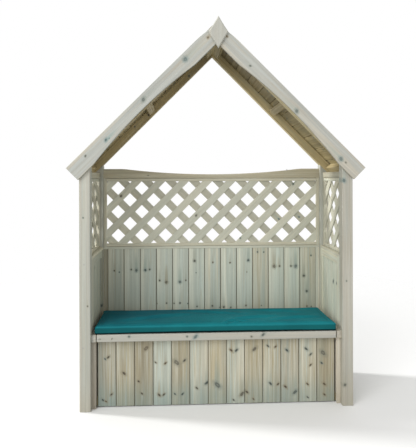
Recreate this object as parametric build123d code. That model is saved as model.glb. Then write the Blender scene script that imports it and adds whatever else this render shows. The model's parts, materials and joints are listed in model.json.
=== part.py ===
from build123d import *
import math
import os

# Garden storage arbour: four posts, a gabled boarded roof with shaped bargeboards,
# trellis and boarded panels on three sides, and a box seat with a lid and a cushion.
# Millimetres. X to the right, Y to the back, Z up, origin under the middle.

# Frame over the posts
frame_width = 1600.0
frame_depth = 560.0
post_size = 64.0
post_edge_radius = 4.0

# Roof
roof_pitch = 45.0
eaves_half_width = 870.0
rafter_rail_gap = 5.0
roof_board_thickness = 16.0
roof_board_set_down = 4.0
roof_rear_overhang = 14.0
eaves_board_set_back = 3.0
rafter_depth = 50.0
rafter_thickness = 45.0
rafter_set_back = 12.0
batten_width = 48.0
batten_depth = 38.0
eaves_batten_from_end = 31.0
cross_batten_from_end = 580.0

# Bargeboards and finial
barge_width = 96.0
barge_waist = 68.0
barge_thickness = 20.0
barge_arc_start = 125.0
barge_arc_end = 945.0
barge_eaves_rise = 8.0
barge_ridge_drop = 2.0
barge_edge_radius = 2.5
finial_height = 187.0
finial_half_width = 57.0
finial_shoulder = 91.5
finial_hollow = 4.5
finial_thickness = 18.0
finial_rise = 15.0
finial_right_of_middle = 6.0
finial_bevel = 5.0

# Wall panels: the back one in the middle of the posts, the side ones flush with the posts' inner faces
panel_thickness = 26.0
panel_top = 884.0
panel_ground_gap = 5.0
cap_height = 16.0
wall_board_thickness = 12.0
wall_board_set_in = 3.0
panel_rail_height = 46.0
panel_stile_width = 48.0
back_stile_width = 27.0

# Trellis
trellis_height = 462.0
trellis_member = 21.0
lath_width = 48.0
lath_thickness = 8.0
lath_pitch = 113.0
lath_housing = 8.0
back_gap_drop = 46.0
side_gap_drop = 11.0

# Top rails
back_rail_end_height = 63.0
back_rail_middle_height = 26.0
back_rail_hollow_half = 600.0
side_rail_height = 37.0

# Box seat
seat_height = 437.0
seat_front = 20.0
seat_rail_height = 42.0
seat_rail_thickness = 20.0
seat_board_thickness = 18.0
seat_side_width = 27.0
lid_gap = 5.0
lid_rest_gap = 0.3
box_front_set_back = 60.0
box_board_thickness = 12.0
corner_batten_width = 24.0
corner_batten_depth = 22.0
box_rail_height = 45.0
box_rail_thickness = 25.0
box_stile_width = 25.0
floor_thickness = 12.0
lid_batten_width = 45.0
lid_batten_depth = 20.0
lid_batten_spacing = 450.0
lid_batten_end_gap = 13.0

# Hinges
hinge_axis_set_back = 478.0
hinge_spacing = 900.0
hinge_length = 76.0
hinge_leaf_width = 24.0
hinge_leaf_thickness = 2.0
hinge_barrel_radius = 4.0
hinge_pin_radius = 1.8
hinge_pin_clearance = 0.05
hinge_knuckle_gap = 0.4
hinge_knuckles = 5

# Cushion
cushion_length = 1406.0
cushion_depth = 418.0
cushion_thickness = 48.0
cushion_set_back = 6.0
cushion_edge_radius = 18.0
cushion_clearance = 0.3

# Places worked out from the sizes above
pitch = math.radians(roof_pitch)
half_width = frame_width / 2
inner_half = half_width - post_size
total_depth = finial_thickness + barge_thickness + frame_depth + roof_rear_overhang
front = -total_depth / 2 + finial_thickness + barge_thickness
back = front + frame_depth
rear_post_front = back - post_size
roof_end = back + roof_rear_overhang
panel_recess = (post_size - panel_thickness) / 2
back_panel_front = rear_post_front + panel_recess
side_trellis_inner = inner_half + panel_recess
side_panel_length = frame_depth - 2 * post_size
side_panel_middle = front + frame_depth / 2
side_trellis_outer = side_trellis_inner + panel_thickness
trellis_top = panel_top + trellis_height
rafter_top = roof_board_set_down + roof_board_thickness
rafter_bottom = rafter_top + rafter_depth
rafter_foot = trellis_top + side_rail_height + rafter_rail_gap
ridge_height = rafter_foot + side_trellis_outer * math.tan(pitch) + rafter_bottom / math.cos(pitch)
eaves_height = ridge_height - eaves_half_width * math.tan(pitch)
barge_foot = eaves_height + barge_eaves_rise
barge_top = ridge_height - barge_ridge_drop
barge_pitch = math.atan2(barge_top - barge_foot, eaves_half_width)
lid_half = inner_half - seat_side_width - lid_gap
lid_under = seat_height - seat_board_thickness
lid_front = front + seat_front
hinge_y = front + hinge_axis_set_back
hinge_z = seat_height + hinge_leaf_thickness / 2
lid_back = hinge_y - lid_gap
seat_back_front = hinge_y + lid_gap
box_front = front + box_front_set_back
box_inner_front = box_front + box_board_thickness + box_rail_thickness
seat_under = seat_height - seat_rail_height
boards_top = panel_top - cap_height
box_rail_top = lid_under - lid_rest_gap
floor_height = panel_ground_gap + box_rail_height
back_board_face = back_panel_front + wall_board_set_in


def block(x0, x1, y0, y1, z0, z1):
    """A straight sawn piece between three pairs of planes."""
    middle = Pos((x0 + x1) / 2, (y0 + y1) / 2, (z0 + z1) / 2)
    return middle * Box(x1 - x0, y1 - y0, z1 - z0)


def slope_point(along, down, y, angle=pitch, foot=eaves_height):
    """A point on a right-hand slope, along it from the eaves and down from its top line."""
    x = eaves_half_width - along * math.cos(angle) - down * math.sin(angle)
    z = foot + along * math.sin(angle) - down * math.cos(angle)
    return (x, y, z)


def ridge_along(down, angle=pitch):
    """How far along the slope the upright middle plane is met, at this depth below the top line."""
    return (eaves_half_width - down * math.sin(angle)) / math.cos(angle)


def prism(edges, depth):
    """A flat outline in an upright plane, made thicker towards the back."""
    return extrude(make_face(edges), amount=depth, dir=(0, 1, 0))


def polygon_prism(points, depth):
    return prism(Polyline(*points, close=True).edges(), depth)


def slope_bar(along0, along1, down0, down1, y0, y1):
    """A bar that runs front to back under the right slope."""
    corners = [(along0, down0), (along1, down0), (along1, down1), (along0, down1)]
    return polygon_prism([slope_point(a, d, y0) for a, d in corners], y1 - y0)


def ridge_cut_bar(along0, down0, down1, y0, y1):
    """A bar along the right slope, square at the eaves and plumb cut at the ridge."""
    corners = [(along0, down0), (ridge_along(down0), down0), (ridge_along(down1), down1), (along0, down1)]
    return polygon_prism([slope_point(a, d, y0) for a, d in corners], y1 - y0)


def other_side(piece):
    return mirror(piece, about=Plane.YZ)


def post(y0):
    """A right-hand post, cut at the roof's pitch under the rafter, with softened long edges."""
    under = rafter_bottom / math.cos(pitch)
    top_inner = ridge_height - inner_half * math.tan(pitch) - under
    top_outer = ridge_height - half_width * math.tan(pitch) - under
    points = [(inner_half, y0, 0), (half_width, y0, 0), (half_width, y0, top_outer), (inner_half, y0, top_inner)]
    body = polygon_prism(points, post_size)
    return fillet(body.edges().filter_by(Axis.Z), post_edge_radius)


def bargeboard():
    """The right front bargeboard, straight on top, hollowed below between its two ends."""

    def point(along, down):
        return slope_point(along, down, front - barge_thickness, barge_pitch, barge_foot)

    middle = (barge_arc_start + barge_arc_end) / 2
    ridge_top = point(ridge_along(0, barge_pitch), 0)
    ridge_foot = point(ridge_along(barge_width, barge_pitch), barge_width)
    end_top = point(0, 0)
    end_foot = point(0, barge_width)
    arc_low = point(barge_arc_start, barge_width)
    arc_mid = point(middle, barge_waist)
    arc_high = point(barge_arc_end, barge_width)
    edges = [
        Line(end_top, ridge_top),
        Line(ridge_top, ridge_foot),
        Line(ridge_foot, arc_high),
        ThreePointArc(arc_high, arc_mid, arc_low),
        Line(arc_low, end_foot),
        Line(end_foot, end_top),
    ]
    board = prism(edges, barge_thickness)
    front_edges = board.faces().sort_by(Axis.Y)[0].edges()
    eased = [e for e in front_edges if abs(e.center().X) > barge_thickness]
    return fillet(eased, barge_edge_radius)


def finial():
    """The kite-shaped plate over the ridge joint, with hollow upper edges and a bevelled face."""
    y = front - barge_thickness - finial_thickness
    top_z = ridge_height + finial_rise
    shoulder_z = top_z - finial_shoulder
    top = (0, y, top_z)
    foot = (0, y, top_z - finial_height)
    right = (finial_half_width, y, shoulder_z)
    left = (-finial_half_width, y, shoulder_z)
    slant = math.hypot(finial_half_width, finial_shoulder)
    mid_x = finial_half_width / 2 - finial_hollow * finial_shoulder / slant
    mid_z = (top_z + shoulder_z) / 2 - finial_hollow * finial_half_width / slant
    edges = [
        ThreePointArc(top, (mid_x, y, mid_z), right),
        Line(right, foot),
        Line(foot, left),
        ThreePointArc(left, (-mid_x, y, mid_z), top),
    ]
    plate = prism(edges, finial_thickness)
    plate = chamfer(plate.faces().sort_by(Axis.Y)[0].edges(), finial_bevel)
    return Pos(finial_right_of_middle, 0, 0) * plate


def rafter(y0):
    return ridge_cut_bar(rafter_set_back, rafter_top, rafter_bottom, y0, y0 + rafter_thickness)


def roof_boards():
    return ridge_cut_bar(eaves_board_set_back, roof_board_set_down, rafter_top, front, roof_end)


def slope_batten(along):
    """A batten under the right roof boards, between the front and rear rafters."""
    y0 = front + rafter_thickness
    return slope_bar(along, along + batten_width, rafter_top, rafter_top + batten_depth, y0, rear_post_front)


def ridge_batten():
    """The top batten of the right slope, its upper side cut plumb on the middle plane."""
    low = ridge_along(rafter_top + batten_depth) - batten_width
    y0 = front + rafter_thickness
    return ridge_cut_bar(low, rafter_top, rafter_top + batten_depth, y0, rear_post_front)


def lath_layer(width, height, gap_x, gap_z, lean, y0):
    """One layer of slanting laths, trimmed to the trellis opening and its housings.

    gap_x, gap_z: the middle of one diamond gap. lean: 1 for laths rising to the right, -1 to the left.
    """
    reach = width + height
    count = math.ceil(reach / lath_pitch) + 1
    trim = block(-width / 2, width / 2, y0, y0 + lath_thickness, 0, height)
    laths = []
    for i in range(-count, count):
        shift = (i + 0.5) * lath_pitch
        bar = Pos(0, 0, shift) * Box(2 * reach, lath_thickness, lath_width)
        bar = Pos(gap_x, y0 + lath_thickness / 2, gap_z) * Rot(0, -45 * lean, 0) * bar
        piece = bar & trim
        if piece is not None and piece.volume > 1:
            laths.append(piece)
    return laths


def trellis(width, gap_drop):
    """A framed trellis panel, its inner face at Y 0, its middle at X 0 and its foot at Z 0."""
    outer = block(-width / 2, width / 2, 0, panel_thickness, 0, trellis_height)
    inner_x = width / 2 - trellis_member
    opening_top = trellis_height - trellis_member
    ring = outer - block(-inner_x, inner_x, -1, panel_thickness + 1, trellis_member, opening_top)
    lath_x = 2 * (inner_x + lath_housing)
    lath_z0 = trellis_member - lath_housing
    lath_height = opening_top - lath_z0 + lath_housing
    y0 = panel_thickness / 2 - lath_thickness
    gap_z = opening_top - gap_drop - lath_z0
    laths = lath_layer(lath_x, lath_height, 0, gap_z, 1, y0)
    laths += lath_layer(lath_x, lath_height, 0, gap_z, -1, y0 + lath_thickness)
    lattice = Pos(0, 0, lath_z0) * (laths[0] + laths[1:])
    return ring + lattice


def panel_stiles(width, stile, y0, y1):
    """The two uprights of a boarded panel, between two depths."""
    x = width / 2
    left = block(-x, -x + stile, y0, y1, panel_ground_gap, boards_top)
    right = block(x - stile, x, y0, y1, panel_ground_gap, boards_top)
    return [left, right]


def panel_rails(width, stile, foot_heights, y0, y1):
    """The rails between a panel's stiles, between two depths."""
    x = width / 2 - stile
    return [block(-x, x, y0, y1, z, z + panel_rail_height) for z in foot_heights]


def panel_cap(width, depth):
    """The level strip on a panel, under its trellis."""
    return block(-width / 2, width / 2, 0, depth, boards_top, panel_top)


def back_panel():
    """The back panel: narrow stiles, rails behind, and boards to the seat side between the stiles."""
    place = Pos(0, back_panel_front, 0)
    width = 2 * inner_half
    behind = wall_board_set_in + wall_board_thickness
    top = boards_top - panel_rail_height
    middle = (panel_ground_gap + top) / 2
    stiles = panel_stiles(width, back_stile_width, 0, panel_thickness)
    rails = panel_rails(width, back_stile_width, [panel_ground_gap, middle, top], behind, panel_thickness)
    x = inner_half - back_stile_width
    boards = block(-x, x, wall_board_set_in, behind, panel_ground_gap, boards_top)
    cap = panel_cap(width, panel_thickness)
    return [place * s for s in stiles], [place * r for r in rails], place * cap, place * boards


def side_place(inner):
    """A right side panel's place, its inner face at this distance from the middle."""
    return Pos(inner, side_panel_middle, 0) * Rot(0, 0, -90)


def side_panel():
    """The right side panel: stiles and rails to the seat side, boards over them outside, and a wide cap."""
    place = side_place(inner_half)
    width = side_panel_length
    inside = panel_thickness - wall_board_set_in - wall_board_thickness
    top = boards_top - panel_rail_height
    stiles = panel_stiles(width, panel_stile_width, 0, inside)
    rails = panel_rails(width, panel_stile_width, [panel_ground_gap, top], 0, inside)
    boards = block(-width / 2, width / 2, inside, inside + wall_board_thickness, panel_ground_gap, boards_top)
    cap = panel_cap(width, side_trellis_outer - inner_half)
    return [place * s for s in stiles], [place * r for r in rails], place * cap, place * boards


def back_top_rail():
    """The rail over the back trellis, its top edge hollowed between level ends."""
    y = back_panel_front
    top = trellis_top + back_rail_end_height
    low = trellis_top + back_rail_middle_height
    x = inner_half
    h = back_rail_hollow_half
    edges = [
        Line((-x, y, trellis_top), (x, y, trellis_top)),
        Line((x, y, trellis_top), (x, y, top)),
        Line((x, y, top), (h, y, top)),
        ThreePointArc((h, y, top), (0, y, low), (-h, y, top)),
        Line((-h, y, top), (-x, y, top)),
        Line((-x, y, top), (-x, y, trellis_top)),
    ]
    return prism(edges, panel_thickness)


def side_top_rail():
    y0 = front + post_size
    z1 = trellis_top + side_rail_height
    return block(side_trellis_inner, side_trellis_outer, y0, rear_post_front, trellis_top, z1)


def corner_batten():
    x0 = inner_half - corner_batten_width
    return block(x0, inner_half, box_front - corner_batten_depth, box_front, 0, seat_under)


def box_front_boards():
    x = inner_half - seat_side_width - wall_board_set_in
    return block(-x, x, box_front, box_front + box_board_thickness, panel_ground_gap, box_rail_top)


def box_front_rails():
    """The rails behind the box's front boards, the top one notched under the seat sides."""
    x = inner_half
    y0 = box_front + box_board_thickness
    middle = inner_half - seat_side_width
    bottom = block(-x, x, y0, box_inner_front, panel_ground_gap, floor_height)
    ends = block(-x, x, y0, box_inner_front, box_rail_top - box_rail_height, seat_under)
    top = block(-middle, middle, y0, box_inner_front, box_rail_top - box_rail_height, box_rail_top)
    return [bottom, ends + top]


def box_front_stile():
    """The right upright between the two front rails, against the side panel."""
    x0 = inner_half - box_stile_width
    y0 = box_front + box_board_thickness
    return block(x0, inner_half, y0, box_inner_front, floor_height, box_rail_top - box_rail_height)


def floor_boards():
    """The box's floor, on the front bottom rail and on a bearer along the back."""
    x = inner_half - box_stile_width
    y0 = box_front + box_board_thickness
    return block(-x, x, y0, back_panel_front, floor_height, floor_height + floor_thickness)


def floor_bearer():
    y0 = back_board_face - box_rail_thickness
    return block(-lid_half, lid_half, y0, back_board_face, panel_ground_gap, floor_height)


def seat_side():
    """Right seat side: a ledge beside the lid, along the posts and the side panel."""
    x0 = inner_half - seat_side_width
    return block(x0, inner_half, lid_front, back_panel_front, seat_under, seat_height)


def seat_bearer():
    """Right bearer that the lid's end rests on."""
    x1 = inner_half - seat_side_width
    y1 = back_board_face - box_rail_thickness
    x0 = x1 - box_rail_thickness
    return block(x0, x1, box_inner_front, y1, box_rail_top - box_rail_height, box_rail_top)


def seat_back_board():
    """The fixed strip behind the lid, on a rail along the back boards."""
    x = inner_half - seat_side_width
    strip = block(-x, x, seat_back_front, back_board_face, lid_under, seat_height)
    rail = block(-x, x, back_board_face - box_rail_thickness, back_board_face, lid_under - box_rail_height, lid_under)
    return strip + rail


def lid_boards():
    y0 = lid_front + seat_rail_thickness
    return block(-lid_half, lid_half, y0, lid_back, lid_under, seat_height)


def lid_front_rail():
    """The seat's front lipping, with a softened upper front edge."""
    rail = block(-lid_half, lid_half, lid_front, lid_front + seat_rail_thickness, seat_under, seat_height)
    front_edges = rail.edges().filter_by(Axis.X).sort_by(Axis.Y)[:2]
    return fillet(front_edges, post_edge_radius)


def lid_battens():
    y0 = box_inner_front + lid_batten_end_gap
    y1 = lid_back - lid_batten_end_gap
    half = lid_batten_width / 2
    battens = []
    for i in (-1, 0, 1):
        x = i * lid_batten_spacing
        battens.append(block(x - half, x + half, y0, y1, lid_under - lid_batten_depth, lid_under))
    return battens


def knuckle(x0, x1, bore):
    """One turn of a hinge barrel, on the hinge line."""
    middle = Pos((x0 + x1) / 2, hinge_y, hinge_z) * Rot(0, 90, 0)
    turn = middle * Cylinder(hinge_barrel_radius, x1 - x0)
    return turn - middle * Cylinder(bore, x1 - x0 + 1)


def hinge_leaf(centre_x, side, turns):
    """A leaf and its knuckles. side: -1 towards the lid, 1 towards the fixed strip."""
    x0 = centre_x - hinge_length / 2
    step = hinge_length / hinge_knuckles
    bore = hinge_pin_radius + hinge_pin_clearance
    y_near = hinge_y + side * (hinge_barrel_radius - 1)
    y_far = hinge_y + side * (lid_gap + hinge_leaf_width)
    y0, y1 = sorted((y_near, y_far))
    leaf = block(x0, x0 + hinge_length, y0, y1, seat_height, seat_height + hinge_leaf_thickness)
    room = Pos(centre_x, hinge_y, hinge_z) * Rot(0, 90, 0) * Cylinder(hinge_barrel_radius + hinge_knuckle_gap,
                                                                      hinge_length + 1)
    leaf = leaf - room
    for i in turns:
        a = x0 + i * step + hinge_knuckle_gap / 2
        b = x0 + (i + 1) * step - hinge_knuckle_gap / 2
        neck = block(a, b, min(0, side) * (hinge_barrel_radius + 2) + hinge_y,
                     max(0, side) * (hinge_barrel_radius + 2) + hinge_y,
                     seat_height, seat_height + hinge_leaf_thickness)
        neck = neck - Pos(centre_x, hinge_y, hinge_z) * Rot(0, 90, 0) * Cylinder(bore, hinge_length + 1)
        leaf = leaf + knuckle(a, b, bore) + neck
    return leaf


def hinge_pin(centre_x):
    middle = Pos(centre_x, hinge_y, hinge_z) * Rot(0, 90, 0)
    return middle * Cylinder(hinge_pin_radius, hinge_length)


def cushion():
    """The seat cushion as one plain soft block, resting on the lid."""
    y0 = lid_front + cushion_set_back
    z0 = seat_height + cushion_clearance
    half = cushion_length / 2
    pad = block(-half, half, y0, y0 + cushion_depth, z0, z0 + cushion_thickness)
    return fillet(pad.edges(), cushion_edge_radius)


def build():
    parts = {}

    def pair(name, piece):
        parts[name + "_right"] = piece
        parts[name + "_left"] = other_side(piece)

    def both_sides(pieces):
        return pieces + [other_side(p) for p in pieces]

    pair("front_post", post(front))
    pair("rear_post", post(rear_post_front))
    pair("bargeboard", bargeboard())
    parts["finial"] = finial()
    pair("front_rafter", rafter(front))
    pair("rear_rafter", rafter(rear_post_front))
    battens = [slope_batten(eaves_batten_from_end), slope_batten(cross_batten_from_end)]
    parts["slope_battens"] = Compound(children=both_sides(battens))
    pair("ridge_batten", ridge_batten())
    pair("roof_boards", roof_boards())

    parts["back_top_rail"] = back_top_rail()
    back_place = Pos(0, back_panel_front, panel_top)
    parts["back_trellis"] = back_place * trellis(2 * inner_half, back_gap_drop)
    stiles, rails, back_cap, parts["back_boards"] = back_panel()
    parts["back_panel_stiles"] = Compound(children=stiles)
    parts["back_panel_rails"] = Compound(children=rails)

    pair("side_top_rail", side_top_rail())
    standing = Pos(0, 0, panel_top) * trellis(side_panel_length, side_gap_drop)
    side_trellis = side_place(side_trellis_inner) * standing
    pair("side_trellis", side_trellis)
    stiles, rails, side_cap, boards = side_panel()
    parts["side_panel_stiles"] = Compound(children=both_sides(stiles))
    parts["side_panel_rails"] = Compound(children=both_sides(rails))
    parts["panel_caps"] = Compound(children=[back_cap] + both_sides([side_cap]))
    pair("side_boards", boards)

    parts["corner_battens"] = Compound(children=both_sides([corner_batten()]))
    parts["box_front_boards"] = box_front_boards()
    parts["box_front_rails"] = Compound(children=box_front_rails())
    parts["box_front_stiles"] = Compound(children=both_sides([box_front_stile()]))
    parts["floor_boards"] = floor_boards()
    parts["box_bearers"] = Compound(children=[floor_bearer()] + both_sides([seat_bearer()]))
    pair("seat_side", seat_side())
    parts["seat_back_board"] = seat_back_board()

    parts["lid_boards"] = lid_boards()
    parts["lid_front_rail"] = lid_front_rail()
    parts["lid_battens"] = Compound(children=lid_battens())
    fixed_leaves = []
    moving_leaves = []
    for side in (-1, 1):
        x = side * hinge_spacing / 2
        fixed_leaves += [hinge_leaf(x, 1, range(0, hinge_knuckles, 2)), hinge_pin(x)]
        moving_leaves.append(hinge_leaf(x, -1, range(1, hinge_knuckles, 2)))
    parts["hinge_fixed_leaves"] = Compound(children=fixed_leaves)
    parts["hinge_lid_leaves"] = Compound(children=moving_leaves)
    parts["cushion"] = cushion()
    return parts


def main():
    os.makedirs("parts", exist_ok=True)
    for name, piece in build().items():
        export_step(piece, os.path.join("parts", name + ".step"))


if __name__ == "__main__":
    main()
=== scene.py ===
import json
import math
import random

import bpy
from mathutils import Matrix, Vector


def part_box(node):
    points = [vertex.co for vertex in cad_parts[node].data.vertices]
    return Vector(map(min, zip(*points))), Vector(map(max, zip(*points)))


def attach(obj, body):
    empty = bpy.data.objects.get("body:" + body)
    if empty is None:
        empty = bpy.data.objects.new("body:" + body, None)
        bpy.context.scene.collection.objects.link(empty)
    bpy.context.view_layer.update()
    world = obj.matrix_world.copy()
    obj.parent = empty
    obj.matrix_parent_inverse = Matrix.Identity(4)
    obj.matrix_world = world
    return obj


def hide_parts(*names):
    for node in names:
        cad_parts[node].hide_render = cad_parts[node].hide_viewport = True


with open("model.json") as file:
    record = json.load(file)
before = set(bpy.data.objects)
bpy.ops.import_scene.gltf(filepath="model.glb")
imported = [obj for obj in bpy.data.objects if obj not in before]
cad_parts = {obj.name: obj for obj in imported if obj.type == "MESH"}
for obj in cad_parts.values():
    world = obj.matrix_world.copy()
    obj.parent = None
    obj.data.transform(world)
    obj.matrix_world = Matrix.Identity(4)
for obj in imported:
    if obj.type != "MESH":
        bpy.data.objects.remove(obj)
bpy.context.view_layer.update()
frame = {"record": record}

# The arbour's finish: separate boards, eased timbers, trellis laths, knots and grain, hinges and a cushion.
# Metres, in the frame's axes: X to the right, Y to the back, Z up.

RECORD = frame["record"]
SLOT_OF = {part["node"]: part["material_slot"] for part in RECORD["subparts"]}
BODY_OF = {node: body for body, nodes in RECORD["behaviour"]["bodies"].items() for node in nodes}
QUARTER = math.pi / 2
ROOT_HALF = math.sqrt(0.5)
X, Y, Z = Vector((1, 0, 0)), Vector((0, 1, 0)), Vector((0, 0, 1))
LEFT, RIGHT = -1, 1
LOW, HIGH = 0, 1

# Sizes that the frame's boxes don't give
BOARD_COVER = 0.109
JOINT_GAP = 0.0012
VEE = 0.0036
TONGUE = 0.005
GROOVE = 0.0056
TONGUE_FROM, TONGUE_TO = 0.38, 0.68
END_EASE = 0.001
POST_EDGE = 0.0045
TIMBER_EDGE = 0.0022
TRIM_EDGE = 0.003
SHADOW_GAP = (0.0028, 0.008)
KNOT_GROUP = 0.035


def span(node):
    """The lowest and highest corner of a node's box."""
    return [Vector(corner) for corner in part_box(node)]


INNER_FACE = span("front_post_right")[LOW].x
ROOF_SET_DOWN = 0.004
EAVES_X = span("bargeboard_right")[HIGH].x
EAVES_Z = span("roof_boards_right")[HIGH].z + ROOF_SET_DOWN / ROOT_HALF - EAVES_X
SLOPE = EAVES_X / ROOT_HALF


# Planks: the grain, tone and knots of one timber

SCATTER = (-0.006, 0.006)
TWIN_CHANCE = 0.75
KNOT_SLOTS = ("knot_a", "knot_b", "knot_c")
FAR_KNOT = (9.0, 9.0, 0.01, 0.0, 0.0, 0.0)
GREY, BROWN = 0.0, 1.0


class Plank:
    """Where one timber lies in its tree, how pale and warm it is, and its knots.

    A knot is (across, along, radius, lean, stain, hue): its place from the plank's middle line and foot,
    its size, its lean in radians, how strongly a stain runs from it along the grain (down it if below 0),
    and its hue from blue grey to brown. band is how much paler the plank is along its left edge, calm how
    little its grain shows, joint how much dirt lies in the vee at its edges, and foot the height above the
    ground up to which it turns grey teal: damp near the ground, and painted bounce light from the cushion
    on the boards behind the seat.
    """

    def __init__(self, seed, knots=(), bright=0.0, warm=0.5, pith=None, band=0.0, calm=0.0, joint=0.0,
                 foot=0.0):
        draw = random.Random(seed).uniform
        across, deep = pith or (draw(-0.03, 0.03), draw(0.012, 0.05))
        self.marks = {"stem": (across, deep, draw(0, 40)),
                      "tone": (bright + draw(-0.05, 0.05), warm + draw(-0.14, 0.14), band),
                      "look": (calm, joint, foot)}
        self.knots = sorted(knots, key=lambda knot: knot[1])

    def cuts(self, start, end):
        """Places along the plank, half way between neighbouring groups of knots."""
        groups = []
        for knot in self.knots:
            if groups and knot[1] - groups[-1][-1] < KNOT_GROUP:
                groups[-1].append(knot[1])
            else:
                groups.append([knot[1]])
        middles = [(a[-1] + b[0]) / 2 for a, b in zip(groups, groups[1:])]
        return [m for m in middles if start < m < end]

    def at(self, along):
        """What the shader needs to know on a face: stem, tone, look and the nearest knots."""
        ranked = sorted(self.knots, key=lambda knot: abs(knot[1] - along))
        found = dict(self.marks)
        for name, knot in zip(KNOT_SLOTS, ranked + [FAR_KNOT] * len(KNOT_SLOTS)):
            found[name], found[name + "_kind"] = knot[:3], knot[3:]
        return found


def whorls(seed, length, width, spacing=0.38, size=0.006, chance=0.8):
    """Knots in pairs either side of the middle, spaced along a plank as branches are up a stem."""
    draw = random.Random(seed)
    knots = []
    along = draw.uniform(0.05, spacing)
    while along < length - 0.03:
        if draw.random() < chance:
            across = draw.uniform(0.08, 0.36) * width
            radius = size * draw.uniform(0.7, 1.4)
            stain = draw.uniform(-0.5, 0.8)
            hue = draw.uniform(0.1, 0.9)
            knots.append((across, along + draw.uniform(*SCATTER), radius,
                          draw.uniform(0.2, 0.9), stain, hue))
            if draw.random() < TWIN_CHANCE:
                other = -across * draw.uniform(0.6, 1.3)
                knots.append((other, along + draw.uniform(*SCATTER), radius * draw.uniform(0.6, 1.1),
                              draw.uniform(-0.9, -0.2), stain * draw.random(), hue))
        along += spacing * draw.uniform(0.75, 1.25)
    return knots


# Sections and outlines

def corner(u, w, radius, turn, steps, flip=1):
    """Points round (u, w), through one quarter turn from the given one."""
    angles = [(turn + i / steps) * QUARTER for i in range(steps + 1)]
    return [(u + radius * math.cos(a), w + flip * radius * math.sin(a)) for a in angles]


def eased_bar(width, depth, radius):
    """The section of a bar with rounded arrises, its middle at 0 across and its face at 0 deep."""
    half, far = width / 2 - radius, depth - radius
    centres = ((-half, radius), (half, radius), (half, far), (-half, far))
    return [p for turn, (u, w) in enumerate(centres, start=2) for p in corner(u, w, radius, turn, 3)]


def joint_board(width, depth, tongue, groove):
    """The section of a tongued and grooved board, its face with a vee at each edge at 0 deep."""
    half = width / 2 - JOINT_GAP / 2
    back, slack = VEE / 3, JOINT_GAP / 2
    near, far = depth * TONGUE_FROM, depth * TONGUE_TO
    points = [(-half + VEE, 0), (half - VEE, 0), (half, VEE)]
    if tongue:
        tip = half + TONGUE
        points += [(half, near), (tip, near + JOINT_GAP), (tip, far - JOINT_GAP), (half, far)]
    points += [(half, depth - back), (half - back, depth), (-half + back, depth), (-half, depth - back)]
    if groove:
        bed = -half + GROOVE
        points += [(-half, far + slack), (bed, far + slack), (bed, near - slack), (-half, near - slack)]
    return points + [(-half, VEE)]


def shadow_bar(width, depth, edge, outer):
    """The section of a bar with a step cut along the front of its outer edge, where a dark line shows."""
    step, cut = SHADOW_GAP
    half, far = width / 2, depth - edge
    lip = half - step
    points = [(edge - half, 0), (lip - edge / 3, 0), (lip, edge / 3), (lip, cut), (half, cut), (half, far),
              (half - edge, depth), (edge - half, depth), (-half, far), (-half, edge)]
    return points if outer > 0 else [(-u, w) for u, w in reversed(points)]


def mitred(section, width):
    """The same section with its high edge leaning out to the middle plane of the roof."""
    return [(u + w * (u + width / 2) / width, w) if u > 0 else (u, w) for u, w in section]


def inset(points, distance):
    """A closed anticlockwise outline moved inwards."""
    moved = []
    for i, here in enumerate(points):
        here = Vector(here)
        a = (here - Vector(points[i - 1])).normalized()
        b = (Vector(points[(i + 1) % len(points)]) - here).normalized()
        normal_a, normal_b = Vector((-a.y, a.x)), Vector((-b.y, b.x))
        spread = max(1 + normal_a.dot(normal_b), 0.4)
        moved.append(tuple(here + (normal_a + normal_b) * (distance / spread)))
    return moved


def hollow(off, half, rise, full):
    """The width that a round hollow leaves of a full one, at a place off its middle."""
    if abs(off) >= half:
        return full
    radius = (half * half + rise * rise) / (2 * rise)
    return full - rise + radius - math.sqrt(radius * radius - off * off)


def place(across, deep, along, origin):
    """The matrix that puts (across, deep, along) into the frame's axes."""
    columns = (across, deep, along, origin)
    return Matrix([[c[i] for c in columns] for i in range(3)] + [[0, 0, 0, 1]])


def ring_faces(rings, closed):
    """Faces over a row of rings, and over both ends unless the last ring joins the first."""
    count, total = len(rings[0]), len(rings)
    faces = []
    for k in range(total if closed else total - 1):
        a, b = k * count, (k + 1) % total * count
        faces += [(a + i, a + (i + 1) % count, b + (i + 1) % count, b + i) for i in range(count)]
    if not closed:
        faces += [tuple(reversed(range(count))), tuple(range(count * (total - 1), count * total))]
    return faces


def add(name, data):
    """A new object in the scene."""
    thing = bpy.data.objects.new(name, data)
    bpy.context.scene.collection.objects.link(thing)
    return thing


def settle(thing, node, stands=True):
    """Gives an object its node's body, and lets it stand for the node."""
    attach(thing, BODY_OF[node])
    if stands:
        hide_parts(node)


# For a bar along each axis: which sides of its box are width, depth and length, and the way they run
AXES = {"x": ((2, 1, 0), (Z, Y, X)), "y": ((0, 2, 1), (X, Z, Y)), "z": ((0, 1, 2), (X, Y, Z))}


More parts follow.
